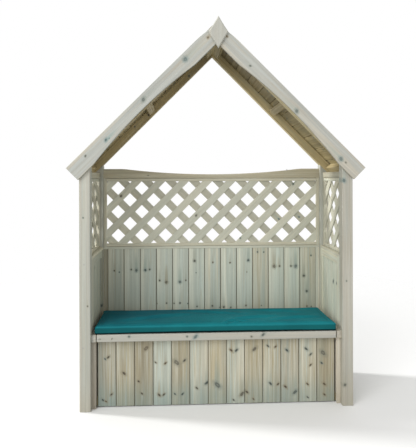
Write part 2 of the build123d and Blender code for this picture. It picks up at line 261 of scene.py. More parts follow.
class Piece:
    """Gathers the parts of one piece in the box of its node."""

    sharp = 38

    def __init__(self, node):
        self.node = node
        self.low, self.high = span(node)
        self.size = self.high - self.low
        self.points, self.faces, self.board, self.marks = [], [], [], {}

    def skin(self, rings, where=Matrix(), plank=None, closed=False):
        """Covers rings of (across, deep, along) points, with the plank's grain and knots on the faces."""
        base = len(self.points)
        local = [p for ring in rings for p in ring]
        self.points += [tuple(where @ Vector(p)) for p in local]
        flip = where.determinant() < 0
        for face in ring_faces(rings, closed):
            face = face[::-1] if flip else face
            self.faces.append(tuple(base + i for i in face))
            if plank:
                corners = [local[i] for i in face]
                self.board += corners
                for name, values in plank.at(sum(c[2] for c in corners) / len(corners)).items():
                    self.marks.setdefault(name, []).append(values)

    def bar(self, section, where, end, plank, start=0.0, ease=END_EASE):
        """A straight timber from start to end, which may be a function of (across, deep)."""
        last = end if callable(end) else lambda u, w: end
        length = last(0, 0) - start
        shares = [(c - start) / length for c in plank.cuts(start, start + length)]

        def ring(points, share, push=0.0):
            return [(u, w, start + share * (last(u, w) - start) + push) for u, w in points]

        small = inset(section, ease)
        rings = [ring(small, 0), ring(section, 0, ease)] + [ring(section, share) for share in shares]
        self.skin(rings + [ring(section, 1, -ease), ring(small, 1)], where, plank)

    def plate(self, outline, near, far, edge, where, plank, far_edge=None):
        """A flat shape of (across, along) points with eased edges, between two depths."""
        far_edge = far_edge or edge
        layers = ((inset(outline, far_edge), far), (outline, far - far_edge),
                  (outline, near + edge), (inset(outline, edge), near))
        self.skin([[(u, deep, v) for u, v in points] for points, deep in layers], where, plank)

    def curved(self, where, top_at, width_at, length_at, width, plank, stations):
        """A board with edges along top_at and width_at(along), its end cut along length_at(across)."""
        # A section from -1 to 1, whose halves are moved out to the two edges
        section = eased_bar(2.0, self.size.y, TRIM_EDGE)
        rings = []
        for k in range(stations + 1):
            share = k / stations
            top, foot = top_at(share * length_at(0.0)), width_at(share * length_at(width))
            ring = [(foot + u - 1.0 if u > 0 else top + u + 1.0, w) for u, w in section]
            rings.append([(u, w, share * length_at(u)) for u, w in ring])
        self.skin(rings, where, plank)

    def fill(self, along, plank, edge=TIMBER_EDGE, **limits):
        """A straight timber that fills the box, or the part of it between limits for x, y or z."""
        low, high = list(self.low), list(self.high)
        for axis, ends in limits.items():
            index = "xyz".index(axis)
            low[index], high[index] = sorted(ends)
        turn, axes = AXES[along]
        width, depth, length = [high[i] - low[i] for i in turn]
        origin = Vector(low) + axes[0] * width / 2
        self.bar(eased_bar(width, depth, edge), place(*axes, origin), length, plank)

    def row(self, where, depth, length, widths, planks):
        """Tongued and grooved boards side by side, of the given widths or of one width in all."""
        if isinstance(widths, float):
            widths = [widths / len(planks)] * len(planks)
        start = 0.0
        for index, (width, plank) in enumerate(zip(widths, planks)):
            section = joint_board(width, depth, index < len(widths) - 1, index > 0)
            self.bar(section, where @ Matrix.Translation((start + width / 2, 0, 0)), length, plank)
            start += width

    def finish(self, name=None, material=None, stands=True):
        """Makes the object, with its normals and with the planks' marks as attributes."""
        name = name or self.node + "_timber"
        mesh = bpy.data.meshes.new(name)
        mesh.from_pydata(self.points, [], self.faces)
        if self.board:
            keep(mesh, "board", "CORNER", self.board)
        for key, rows in self.marks.items():
            keep(mesh, key, "FACE", rows)
        mesh.shade_smooth()
        mesh.set_sharp_from_angle(angle=math.radians(self.sharp))
        mesh.materials.append(material or WOODS[SLOT_OF[self.node]])
        thing = add(name, mesh)
        thing.modifiers.new("face normals", "WEIGHTED_NORMAL").keep_sharp = True
        settle(thing, self.node, stands)


def keep(mesh, name, domain, rows):
    """Stores triples of numbers as an attribute."""
    layer = mesh.attributes.new(name, "FLOAT_VECTOR", domain)
    layer.data.foreach_set("vector", [n for row in rows for n in row])


def pair(name):
    """The left and the right piece of two nodes, each after its side."""
    return [(side, Piece(f"{name}_{word}")) for side, word in ((LEFT, "left"), (RIGHT, "right"))]


# Materials

class Field:
    """A socket that adds and multiplies like a number."""

    def __init__(self, tree, socket):
        self.tree, self.socket = tree, socket

    def fed(self, node, *others):
        """The output of a node that takes this field and others."""
        for slot_in, value in zip(node.inputs, (self, *others)):
            join(self.tree, slot_in, value)
        return Field(self.tree, node.outputs[0])

    def math(self, kind, *others):
        node = self.tree.nodes.new("ShaderNodeMath")
        node.operation = kind
        return self.fed(node, *others)

    def __add__(self, other):
        return self.math("ADD", other)

    def __sub__(self, other):
        return self.math("SUBTRACT", other)

    def __mul__(self, other):
        return self.math("MULTIPLY", other)

    def __truediv__(self, other):
        return self.math("DIVIDE", other)

    def __abs__(self):
        return self.math("ABSOLUTE")

    __radd__ = __add__
    __rmul__ = __mul__

    def rest(self):
        """What this value leaves of 1."""
        return self * -1.0 + 1.0

    def step(self, low, high, to_low=0.0, to_high=1.0):
        """Runs smoothly from to_low to to_high while the value runs from low to high."""
        node = self.tree.nodes.new("ShaderNodeMapRange")
        node.interpolation_type = "SMOOTHSTEP"
        return self.fed(node, low, high, to_low, to_high)

    def fall(self, low, high, top=1.0):
        """Runs smoothly from top down to 0 while the value runs from low to high."""
        return self.step(low, high, top, 0.0)


def join(tree, slot_in, value):
    """Links a field to a socket, or sets the socket to a number or a colour."""
    if isinstance(value, Field):
        tree.links.new(value.socket, slot_in)
    else:
        slot_in.default_value = (*value, 1.0) if isinstance(value, tuple) else value


class Shader:
    """A material under construction, with one principled shader."""

    def __init__(self, name):
        self.material = bpy.data.materials.new(name)
        self.material.use_nodes = True
        self.tree = self.material.node_tree

    def node(self, kind, feeds=(), out=0, **settings):
        """One output of a new node, whose sockets are fed by name or number."""
        made = self.tree.nodes.new(kind)
        for key, value in settings.items():
            setattr(made, key, value)
        for key, value in dict(feeds).items():
            join(self.tree, made.inputs[key], value)
        return Field(self.tree, made.outputs[out])

    def parts(self, field):
        """The three numbers of a vector."""
        apart = self.tree.nodes.new("ShaderNodeSeparateXYZ")
        join(self.tree, apart.inputs[0], field)
        return [Field(self.tree, out) for out in apart.outputs]

    def attribute(self, name):
        return self.parts(self.node("ShaderNodeAttribute", out="Vector", attribute_name=name))

    def position(self):
        return self.parts(self.node("ShaderNodeNewGeometry", out="Position"))

    def noise(self, x, y, z, detail=2.0, rough=0.5):
        """Noise from 0 to 1 at a point given as three fields."""
        point = self.node("ShaderNodeCombineXYZ", enumerate((x, y, z)))
        feeds = {"Vector": point, "Scale": 1.0, "Detail": detail, "Roughness": rough}
        return self.node("ShaderNodeTexNoise", feeds)

    def mix(self, share, first, second, blend="MIX"):
        """A colour between two colours."""
        feeds = {0: share, 6: first, 7: second}
        return self.node("ShaderNodeMix", feeds, 2, data_type="RGBA", blend_type=blend)

    def times(self, first, second):
        """A colour multiplied by a colour or by a number."""
        if isinstance(second, Field) and second.socket.type == "VALUE":
            second = self.node("ShaderNodeCombineColor", {0: second, 1: second, 2: second})
        return self.mix(1.0, first, second, "MULTIPLY")

    def bump(self, height, distance, strength):
        feeds = {"Strength": strength, "Distance": distance, "Height": height}
        self.set(Normal=self.node("ShaderNodeBump", feeds))

    def set(self, **values):
        for key, value in values.items():
            join(self.tree, self.tree.nodes["Principled BSDF"].inputs[key.replace("_", " ")], value)


RING_WIDTH = 0.0042
KNOT_CORES = ((0.030, 0.058, 0.062), (0.075, 0.050, 0.030))
KNOT_RINGS = ((0.19, 0.26, 0.25), (0.28, 0.23, 0.14))
STAINS = ((0.26, 0.36, 0.33), (0.34, 0.26, 0.15))
# The grey teal is that of damp feet and of painted bounce light from the cushion.
SAPWOOD, DAMP_AND_BOUNCE, DIRT = (0.80, 0.76, 0.62), (0.195, 0.285, 0.268), (0.10, 0.085, 0.055)
FIBRE_TINTS = ((0.82, 0.82, 0.82), (1.15, 1.15, 1.15))


class KnotFields:
    """What one knot does to the wood round it."""

    def __init__(self, shader, name, across, along, uneven):
        middle, height, radius = shader.attribute(name)
        lean, stain, self.hue = shader.attribute(name + "_kind")
        x, y = (across - middle) / radius, (along - height) / radius
        cos, sin = lean.math("COSINE"), lean.math("SINE")
        wide, tall = x * cos + y * sin, (y * cos - x * sin) * abs(lean).step(0.0, 0.8, 0.95, 0.55)
        far = (wide * wide + tall * tall).math("SQRT") * uneven
        self.push = x / (x * x + y * y * 0.12 + 1.0)
        heart = far.fall(0.15, 0.85, 0.64) * radius.step(0.0070, 0.0105)
        self.core = far.fall(0.45, 1.15) * heart.rest()
        self.ring = far.fall(0.7, 2.4)
        self.crack = abs(wide * 5.0).fall(0.0, 1.0) * far.fall(0.6, 0.9)
        ahead = y * stain.math("SIGN")
        self.stain = ahead.step(0.0, 2.0) * ahead.fall(3.0, 16.0) * (x * x).fall(0.0, 3.0) * abs(stain)

    def paint(self, shader, base, dark):
        for strength, colours in ((self.stain * 0.6, STAINS), (self.ring * 0.7, KNOT_RINGS),
                                  (self.core * dark, KNOT_CORES)):
            base = shader.mix(strength, base, shader.mix(self.hue, *colours))
        return base


def timber(name, pale, cool, tan, contrast=1.0, dark=0.92, rough=0.68):
    """Treated softwood: pale, cool and tan streaks, growth rings, knots, stains, damp feet and painted
    bounce light low down.
    """
    shader = Shader(name)
    mix, noise = shader.mix, shader.noise
    across, deep, along = shader.attribute("board")
    stem_across, stem_deep, shift = shader.attribute("stem")
    bright, warm, band = shader.attribute("tone")
    calm, joint, foot = shader.attribute("look")
    lively = calm.rest()
    strength = lively * contrast
    blur = noise(across * 90, deep * 90, along * 90 + shift)
    knots = [KnotFields(shader, slot_name, across, along, blur * 0.9 + 0.55) for slot_name in KNOT_SLOTS]
    bend = 0.006 * sum((knot.push for knot in knots[1:]), knots[0].push)
    u, w, v = across - stem_across - bend, deep - stem_deep, along + shift
    waver = noise(u * 9, w * 9, v * 1.1) - 0.5
    part = (((u * u + w * w).math("SQRT") + waver * 0.02) / RING_WIDTH).math("FRACT")
    late = part.step(0.3, 0.85) * part.fall(0.88, 1.0)
    broad = noise(u * 34, w * 14, v * 0.9, 3, 0.55)
    streaks = noise(u * 150, w * 150, v * 2.4, 3, 0.62)
    fibre = noise(u * 1400, w * 1400, v * 42)
    patch = noise(u * 7, w * 7, v * 4)
    toward_warm = (warm - 0.5) * 0.45

    base = mix((broad + toward_warm).step(0.40, 0.58).math("MAXIMUM", calm), cool, pale)
    edge = (across + waver * 0.02).fall(-0.034, -0.006) * band
    base = mix(edge * 0.5, base, mix(0.35, pale, SAPWOOD))
    base = mix((streaks + toward_warm).step(0.46, 0.72) * 0.85 * strength, base, tan)
    base = mix(late * 0.4 * strength, base, tan)
    base = mix(patch.step(0.5, 0.8) * 0.3 * lively, base, cool)
    shade = noise(u * 60, w * 60, v * 1.3, 2, 0.6)
    base = shader.times(base, shade.step(0.30, 0.70, strength * -0.20 + 1.05, strength * 0.12 + 1.05))
    base = shader.times(base, mix(fibre, *FIBRE_TINTS))
    base = shader.times(base, bright + 1.0)
    height = shader.position()[2]
    # Tan towards the ground: damp feet, and painted warm bounce light from the floor reaching up to a
    # metre.
    damp_and_warm_bounce = height.fall(0.0, 0.18, 0.25) + height.fall(0.0, 1.0, 0.14)
    has_foot = foot.math("SIGN")
    base = mix(damp_and_warm_bounce * (patch + 0.4) * has_foot.rest(), base, tan)
    # Grey teal up to the foot height: damp near the ground on the box front, painted bounce light from the
    # cushion on the back boards.
    base = mix(height.fall(foot * 0.1, foot, 0.45) * has_foot * (patch + 0.5), base, DAMP_AND_BOUNCE)
    for knot in knots:
        base = knot.paint(shader, base, dark)
    vee = deep.step(0.0003, 0.003) * deep.fall(0.008, 0.009)
    base = mix(vee * joint, base, DIRT)
    cracks = sum((knot.crack for knot in knots[1:]), knots[0].crack)
    shader.bump(fibre * 0.5 + late * 0.35 + streaks * 0.5 - cracks * 1.5, 0.0006, 0.6)
    shader.set(Base_Color=base, Roughness=streaks * 0.2 + (rough - 0.1), Specular_IOR_Level=0.3)
    return shader.material


# Colours of each timber as (pale, cool, tan), then its contrast and how dark its knots are
TIMBERS = {
    "post_wood": ((0.495, 0.485, 0.425), (0.435, 0.450, 0.400), (0.40, 0.36, 0.27), 0.6, 0.75),
    "trim_wood": ((0.495, 0.475, 0.405), (0.432, 0.447, 0.415), (0.38, 0.33, 0.25), 0.6, 0.70),
    "frame_wood": ((0.56, 0.485, 0.29), (0.45, 0.41, 0.26), (0.38, 0.29, 0.13), 0.8),
    # The roof wood is darker and browner than the rest: painted shade under the roof.
    "roof_wood": ((0.36, 0.30, 0.16), (0.27, 0.23, 0.12), (0.22, 0.16, 0.07)),
    "panel_wood": ((0.57, 0.56, 0.46), (0.42, 0.47, 0.42), (0.39, 0.33, 0.20)),
}
WOODS = {slot: timber(slot.replace("_", " "), *values) for slot, values in TIMBERS.items()}


# Posts

POST_WHORLS = (1.0, 0.06, 0.4, 0.005)
POST_PITH = (0.012, 0.06)
POST_KNOTS = {
    "front_post_right": [(-0.021, 1.330, 0.009, 0.3, 0.4, GREY), (-0.007, 0.737, 0.004, 0.2, 0.3, 0.4),
                         (-0.018, 0.124, 0.008, -0.2, 0.5, 0.5)],
    "front_post_left": [(0.016, 0.610, 0.004, 0.2, 0.4, 0.6), (-0.008, 1.120, 0.004, 0.1, 0.3, 0.3)],
}


def make_posts():
    top = span("front_post_right")[HIGH].z + INNER_FACE
    for side, piece in pair("front_post") + pair("rear_post"):
        low, node = piece.low, piece.node
        middle = low.x + piece.size.x / 2
        section = eased_bar(piece.size.x, piece.size.y, POST_EDGE)
        knots = POST_KNOTS.get(node) or whorls(node, *POST_WHORLS)
        plank = Plank(node, knots, warm=0.55, pith=(POST_PITH[0] * side, POST_PITH[1]))
        where = place(X, Y, Z, Vector((middle, low.y, low.z)))
        piece.bar(section, where, lambda u, w: top - abs(middle + u) - low.z, plank)
        piece.finish()


# Roof

BARGE_WIDTH = 0.096
BARGE_WAIST = 0.068
BARGE_ARC = (0.125, 0.945)
BARGE_RISE = 0.860
BARGE_STATIONS = 36
BARGE_BEND = 1.070
BARGE_DROP, DROP_RUN = 0.014, 0.15
# Tones (bright, warm) of each board: the left board darker and cooler as painted shade.
BARGE_TONES_WITH_PAINTED_SHADE = {LEFT: (-0.07, 0.3), RIGHT: (0.0, 0.62)}
BARGE_KNOTS = {
    LEFT: [(0.030, 0.128, 0.005, 0.4, 0.3, 0.5), (0.047, 0.275, 0.007, 0.5, 0.9, GREY),
           (0.053, 0.296, 0.003, 0.5, -0.9, GREY), (0.032, 0.591, 0.009, 0.5, 0.4, 0.3),
           (0.036, 0.927, 0.012, 0.12, 0.45, GREY), (0.038, 1.110, 0.006, 0.3, 0.5, BROWN)],
    RIGHT: [(0.062, 0.104, 0.004, 0.4, 0.2, 0.6), (0.067, 0.140, 0.010, 0.3, 0.5, GREY),
            (0.052, 0.522, 0.009, 0.4, 0.5, 0.2), (0.056, 0.898, 0.005, -0.4, 0.4, 0.4),
            (0.031, 1.113, 0.005, 0.3, 0.5, BROWN)],
}


def slope_place(side, y, angle=QUARTER / 2, foot=EAVES_Z):
    """Board places on a slope: across runs down from its top line, along runs up from the eaves."""
    cos, sin = math.cos(angle), math.sin(angle)
    origin = Vector((side * EAVES_X, y, foot))
    return place(Vector((-side * sin, 0, -cos)), Y, Vector((-side * cos, 0, sin)), origin)


def barge_top(along):
    """How far the top edge eases down below its straight line, behind the finial."""
    return BARGE_DROP * max(0.0, along - BARGE_BEND) / DROP_RUN


def barge_width(along):
    """The board's width at a place along it: one shallow arc between two full ends."""
    start, end = BARGE_ARC
    return hollow(along - (start + end) / 2, (end - start) / 2, BARGE_WIDTH - BARGE_WAIST, BARGE_WIDTH)


def make_bargeboards():
    angle = math.atan2(BARGE_RISE, EAVES_X)

    def to_middle(across):
        return (EAVES_X - across * math.sin(angle)) / math.cos(angle)

    for side, piece in pair("bargeboard"):
        plank = Plank(piece.node, BARGE_KNOTS[side], *BARGE_TONES_WITH_PAINTED_SHADE[side], pith=(0.03, 0.03))
        where = slope_place(side, piece.low.y, angle, piece.high.z - BARGE_RISE)
        piece.curved(where, barge_top, barge_width, to_middle, BARGE_WIDTH, plank, BARGE_STATIONS)
        piece.finish()


FINIAL_SHOULDER = 0.0915
FINIAL_HOLLOW = 0.0015
FINIAL_BEVEL = 0.005
FINIAL_STEPS = 10


def hollow_edge(start, end):
    """Points of the finial's edge from start to just before end, sagging to the left of the way."""
    run = end - start
    left = Vector((-run.y, run.x)).normalized()
    shares = [i / FINIAL_STEPS for i in range(FINIAL_STEPS)]
    return [tuple(start + run * s + left * FINIAL_HOLLOW * 4 * s * (1 - s)) for s in shares]


def make_finial():
    piece = Piece("finial")
    low, high = piece.low, piece.high
    middle, shoulder = (low.x + high.x) / 2, high.z - FINIAL_SHOULDER
    top, right, left = Vector((middle, high.z)), Vector((high.x, shoulder)), Vector((low.x, shoulder))
    outline = [(middle, low.z)] + hollow_edge(right, top) + hollow_edge(top, left) + [tuple(left)]
    plank = Plank("finial", warm=0.2, bright=-0.07, calm=0.5)
    piece.plate(outline, low.y, high.y, FINIAL_BEVEL, Matrix(), plank, far_edge=END_EASE)
    piece.finish("finial_plate")


RAFTER_TOP = 0.020
RAFTER_DEPTH = 0.050
RAFTER_SET_BACK = 0.012
RAFTER_EASE = 0.0006
# Tones (bright, warm) of each side: the right rafters lighter as painted light, the left ones darker as
# painted shade.
RAFTER_LIT_AND_SHADED_TONES = {LEFT: (-0.14, 0.95), RIGHT: (0.12, 0.6)}
# Knots as (x, z, radius in millimetres, hue)
RAFTER_KNOTS = {
    "rear_rafter_left": [(-0.157, 2.038, 6, 0.6), (-0.428, 1.773, 7, 0.8), (-0.523, 1.692, 4, 0.7)],
}


def make_rafters():
    middle = RAFTER_TOP + RAFTER_DEPTH / 2
    for side, piece in pair("front_rafter") + pair("rear_rafter"):
        section = [(u + middle, w) for u, w in eased_bar(RAFTER_DEPTH, piece.size.y, TIMBER_EDGE)]
        where = slope_place(side, piece.low.y)
        knots = []
        for x, z, radius, hue in RAFTER_KNOTS.get(piece.node, ()):
            spot = where.inverted() @ Vector((x, piece.low.y, z))
            knots.append((spot.x, spot.z, radius / 1000, 0.5, 0.5, hue))
        # Painted light and shade by side.
        plank = Plank(piece.node, knots, *RAFTER_LIT_AND_SHADED_TONES[side])
        piece.bar(section, where, lambda u, w: SLOPE - u, plank, RAFTER_SET_BACK, RAFTER_EASE)
        piece.finish()


BATTEN_WIDTH = 0.048
BATTEN_DEPTH = 0.038
EAVES_BATTEN = 0.031
CROSS_BATTEN = 0.580


def batten_place(side, along, y):
    """A batten under the roof boards: across runs up the slope, deep runs down from their underside."""
    up_slope = Vector((-side * ROOT_HALF, 0, ROOT_HALF))
    down = Vector((-side * ROOT_HALF, 0, -ROOT_HALF))
    eaves = Vector((side * EAVES_X, y, EAVES_Z))
    return place(up_slope, down, Y, eaves + up_slope * along + down * RAFTER_TOP)


def make_battens():
    piece = Piece("slope_battens")
    section = eased_bar(BATTEN_WIDTH, BATTEN_DEPTH, TIMBER_EDGE)
    for side in (LEFT, RIGHT):
        for along, bright in ((EAVES_BATTEN, 0.0), (CROSS_BATTEN, -0.25)):
            plank = Plank(f"batten {side} {along}", bright=bright, warm=0.8)
            where = batten_place(side, along + BATTEN_WIDTH / 2, piece.low.y)
            piece.bar(section, where, piece.size.y, plank)
    piece.finish()
    foot = SLOPE - (RAFTER_TOP + BATTEN_DEPTH) - BATTEN_WIDTH
    outline = [(0, 0), (SLOPE - RAFTER_TOP - foot, 0), (BATTEN_WIDTH, BATTEN_DEPTH), (0, BATTEN_DEPTH)]
    for side, piece in pair("ridge_batten"):
        piece.bar(outline, batten_place(side, foot, piece.low.y), piece.size.y, Plank(piece.node, warm=0.6))
        piece.finish()


ROOF_BOARD = 0.016
ROOF_EAVES_SET_BACK = 0.003
# Painted shade: the roof boards are lighter at the eaves and darken towards the apex.
ROOF_BRIGHT, ROOF_APEX_PAINTED_SHADE = 0.18, 0.60


def make_roof_boards():
    underside = ROOF_SET_DOWN + ROOF_BOARD
    limit = SLOPE - underside
    for side, piece in pair("roof_boards"):
        up_slope = Vector((-side * ROOT_HALF, 0, ROOT_HALF))
        out = Vector((side * ROOT_HALF, 0, ROOT_HALF))
        eaves = Vector((side * EAVES_X, piece.low.y, EAVES_Z)) - out * underside
        start, index = ROOF_EAVES_SET_BACK, 0
        while start < limit:
            seed = f"{piece.node} {index}"
            knots = whorls(seed, piece.size.y, BOARD_COVER, 0.3)
            # Painted shade, darker up the slope towards the apex.
            plank = Plank(seed, knots, bright=ROOF_BRIGHT - ROOF_APEX_PAINTED_SHADE * start / limit)
            end = min(start + BOARD_COVER, limit)
            width = end - start
            where = place(up_slope, out, Y, eaves + up_slope * (start + width / 2))
            section = joint_board(width, ROOF_BOARD, end < limit, index > 0)
            section = section if end < limit else mitred(section, width)
            piece.bar(section, where, piece.size.y, plank)
            start = end
            index += 1
        piece.finish(piece.node + "_boards")


# Panels

# Each board as (bright, warm, knots), and each knot as (across, up, radius) in millimetres
BACK_BOARDS = (
    (0.04, 0.5, ((-11, 717, 5), (23, 707, 4))),
    (0.08, 0.3, ((-6, 723, 5), (28, 718, 9))),
    (0.16, 0.25, ((-21, 719, 8), (9, 723, 6))),
    (0.06, 0.2, ((-33, 647, 6), (12, 635, 9), (-51, 490, 3), (13, 493, 5))),
    (0.04, 0.15, ((-5, 636, 9), (35, 647, 5), (-45, 491, 4), (-5, 492, 6), (48, 488, 4))),
    (0.10, 0.2, ((-14, 778, 8), (-4, 697, 3), (1, 467, 5))),
    (0.0, 0.25, ((1, 766, 5), (-3, 470, 6), (47, 459, 3))),
    (0.07, 0.2, ((10, 763, 5), (-34, 460, 7), (14, 457, 5))),
    (0.07, 0.15, ((26, 778, 8), (16, 698, 3), (9, 469, 5))),
    (0.0, 0.55, ((-19, 834, 5), (23, 833, 4), (6, 467, 3))),
    (0.14, 0.25, ((-14, 735, 10), (23, 736, 6))),
    (0.18, 0.25, ((-7, 735, 6), (26, 734, 10))),
    (-0.03, 0.6, ((23, 807, 5), (-27, 668, 8), (-7, 562, 8), (-6, 458, 5), (24, 455, 4))),
)
# The first three boards at the left are darker: painted shade of the left post.
FRONT_BOARDS = (
    (-0.28, 0.5, ((9, 289, 6), (-10, 279, 4), (27, 70, 5), (-23, 38, 5), (-5, 29, 4))),
    (-0.13, 0.65, ((-8, 192, 7),)),
    (-0.28, 0.8, ((13, 337, 9), (-31, 143, 5), (-12, 71, 5))),
    (0.08, 0.4, ((-40, 253, 4), (18, 247, 5), (-19, 60, 6), (8, 62, 5))),
    (-0.16, 0.85, ((-25, 250, 10), (22, 261, 6), (-35, 64, 4), (10, 63, 5))),
    (0.0, 0.42, ((-14, 96, 5), (44, 125, 7))),
    (-0.01, 0.8, ((0, 112, 11),)),
    (0.09, 0.48, ((-26, 316, 6), (5, 316, 6), (-12, 20, 4), (38, 55, 8))),
    (-0.02, 0.7, ((5, 321, 8), (-41, 66, 6), (-2, 23, 4))),
    (-0.04, 0.58, ((-23, 338, 5), (23, 333, 5), (-8, 113, 6), (37, 109, 5))),
    (-0.12, 0.58, ((-17, 310, 6), (-27, 92, 6), (31, 59, 8))),
    (0.03, 0.45, ((-9, 316, 6), (17, 283, 5), (16, 219, 5), (-2, 105, 5), (-1, 26, 4))),
    (-0.14, 0.98, ((-16, 291, 10), (-25, 230, 5), (-8, 103, 6), (-8, 40, 5))),
)


def board_knots(marks, scale=1.0, brown=0.45, slant=0.2):
    """The knots of one board, leaning away from its middle."""
    knots = []
    for across, up, radius in marks:
        hue = brown + 0.3 * math.sin(across * 1.7 + up)
        knots.append((across / 1000, up / 1000, radius * scale / 1000, -slant if across > 0 else slant,
                      min(radius / 9, 1.0), hue))
    return knots


def upright_boards(node, name, seed, table, *marks, **look):
    """A row of boards that stand side by side, faces to the front."""
    piece = Piece(node)
    planks = [Plank(f"{seed} {i}", board_knots(knots, *marks), bright, warm, **look)
              for i, (bright, warm, knots) in enumerate(table)]
    piece.row(place(X, Y, Z, piece.low), piece.size.y, piece.size.z, piece.size.x, planks)
    piece.finish(name)


def flat_boards(node, name, seed, knotty, count=4):
    """A row of boards that lie side by side, with knots along the given length."""
    piece = Piece(node)
    planks = [Plank(f"{seed} {i}", whorls(f"{seed} {i}", knotty, 0.1)) for i in range(count)]
    where = place(Y, -Z, X, Vector((piece.low.x, piece.low.y, piece.high.z)))
    piece.row(where, piece.size.z, piece.size.x, piece.size.y, planks)
    piece.finish(name)


RAIL_HEIGHT = 0.046
SIDE_STILE = 0.048
SIDE_BOARD_WIDTHS = (0.073, 0.109, 0.109, 0.109, 0.032)
# Painted light: the right side panel lighter, as if lit from the left, and the left one a little darker.
SIDE_PAINTED_LIGHT = {LEFT: -0.08, RIGHT: 0.30}
REAR_DARKER = {LEFT: 0.2, RIGHT: 0.0}
SIDE_RAIL_BRIGHT = {LEFT: 0.0, RIGHT: -0.15}
STILE_KNOTS = {(LEFT, 1): [(0.0, 0.50, 0.008, 0.3, 0.6, 0.3)]}


def make_back_panel():
    upright_boards("back_boards", "back_boards_row", "back board", BACK_BOARDS,
                   band=0.8, calm=0.25, joint=0.8, foot=0.9)
    edge = span("back_boards")[HIGH].x
    piece = Piece("back_panel_stiles")
    for side, bright, warm in ((LEFT, -0.25, 0.95), (RIGHT, 0.08, 0.45)):
        plank = Plank(f"back stile {side}", (), bright, warm, calm=0.4)
        piece.fill("z", plank, x=(side * edge, side * piece.high.x))
    piece.finish("back_stiles")
    piece = Piece("back_panel_rails")
    foot, top = piece.low.z, piece.high.z - RAIL_HEIGHT
    for index, z in enumerate((foot, (foot + top) / 2, top)):
        seed = f"back rail {index}"
        piece.fill("x", Plank(seed, whorls(seed, 1.4, RAIL_HEIGHT)), z=(z, z + RAIL_HEIGHT))
    piece.finish("back_rails")


def make_side_panels():
    stiles, rails = Piece("side_panel_stiles"), Piece("side_panel_rails")
    low, high = stiles.low, stiles.high
    for side, piece in pair("side_boards"):
        inner = piece.high.x if side == LEFT else piece.low.x
        # Painted light on the right side, painted shade on the left.
        bright = SIDE_PAINTED_LIGHT[side]
        seeds = [f"{piece.node} {i}" for i in range(len(SIDE_BOARD_WIDTHS))]
        planks = [Plank(seed, whorls(seed, piece.size.z, BOARD_COVER, 0.34), bright, 0.2,
                        band=0.5, calm=0.4, joint=0.7) for seed in seeds]
        where = place(Y, X * side, Z, Vector((inner, piece.low.y, piece.low.z)))
        piece.row(where, piece.size.x, piece.size.z, SIDE_BOARD_WIDTHS, planks)
        piece.finish(piece.node + "_row")
        behind = (inner, side * INNER_FACE)
        for index, y in enumerate(((low.y, low.y + SIDE_STILE), (high.y - SIDE_STILE, high.y))):
            plank = Plank(f"side stile {side} {index}", STILE_KNOTS.get((side, index), ()),
                          bright - REAR_DARKER[side] * index, 0.6, calm=0.5)
            stiles.fill("z", plank, x=behind, y=y)
        for index, z in enumerate((low.z, high.z - RAIL_HEIGHT)):
            plank = Plank(f"side rail {side} {index}", bright=bright, calm=0.5)
            rails.fill("y", plank, x=behind, z=(z, z + RAIL_HEIGHT))
    stiles.finish("side_stiles")
    rails.finish("side_rails")


def make_caps_and_rails():
    caps = Piece("panel_caps")
    caps.fill("x", Plank("back cap", bright=0.02, warm=0.6, calm=0.7), x=(-INNER_FACE, INNER_FACE),
              y=(span("back_top_rail")[LOW].y, caps.high.y))
    for side, piece in pair("side_top_rail"):
        caps.fill("y", Plank(f"side cap {side}", bright=0.10, warm=0.6, calm=0.7),
                  x=(side * INNER_FACE, side * caps.high.x), y=[end.y for end in span("side_boards_right")])
        piece.fill("y", Plank(piece.node, bright=SIDE_RAIL_BRIGHT[side], warm=0.7, calm=0.4))
        piece.finish()
    caps.finish("caps")


HOLLOW_HALF = 0.600
HOLLOW_DEPTH = 0.037
HOLLOW_STATIONS = 48


def make_back_top_rail():
    piece = Piece("back_top_rail")
    full, length = piece.size.z, piece.size.x
    plank = Plank("back top rail", [(0.02, 0.3, 0.003, 0.2, 0.2, 0.5)], warm=0.85, calm=0.35)
    piece.curved(place(Z, Y, X, piece.low), lambda along: 0.0,
                 lambda along: hollow(along - length / 2, HOLLOW_HALF, HOLLOW_DEPTH, full),
                 lambda across: length, full, plank, HOLLOW_STATIONS)
    piece.finish()


# Trellis

LATH_WIDTH = 0.048
LATH_THICKNESS = 0.008
LATH_PITCH = 0.113
TRELLIS_MEMBER = 0.021
LATH_HOUSING = 0.006
LATH_EDGE = 0.0012
# How a lath's knots are drawn: the width they spread over, their spacing, size and chance
LATH_WHORLS = (0.046, 0.5, 0.0035, 0.35)
FRAME_SET_BACK = 0.003
BACK_GAP_DROP = 0.046
SIDE_GAP_DROP = 0.011
NEAR_POINTS = 0.0008
SLIVER = 0.0002

# Knots as (x, z, radius in millimetres, hue), and (warm, bright) of the laths of each lean
LATTICE_KNOTS = [(0.458, 1.063, 5, GREY), (0.597, 1.076, 5, 0.1), (0.556, 1.303, 5, 0.2),
                 (0.189, 0.935, 5, 0.2), (-0.620, 1.226, 7, 0.7), (-0.112, 1.091, 6, 0.6)]
LATTICE_TONES = {1: (0.5, -0.03), -1: (0.85, -0.20)}
SIDE_LATTICE_TONES = {LEFT: {1: (0.9, -0.05), -1: (0.95, -0.15)},
                      RIGHT: {1: (0.6, -0.05), -1: (0.7, -0.12)}}
# Painted light that lifts the laths at the left out of the shade of the left post: how much, from where on
# and over what run
LATTICE_LEFT_PAINTED_LIGHT, GAIN_START, GAIN_RUN = 0.30, -0.1, 0.5


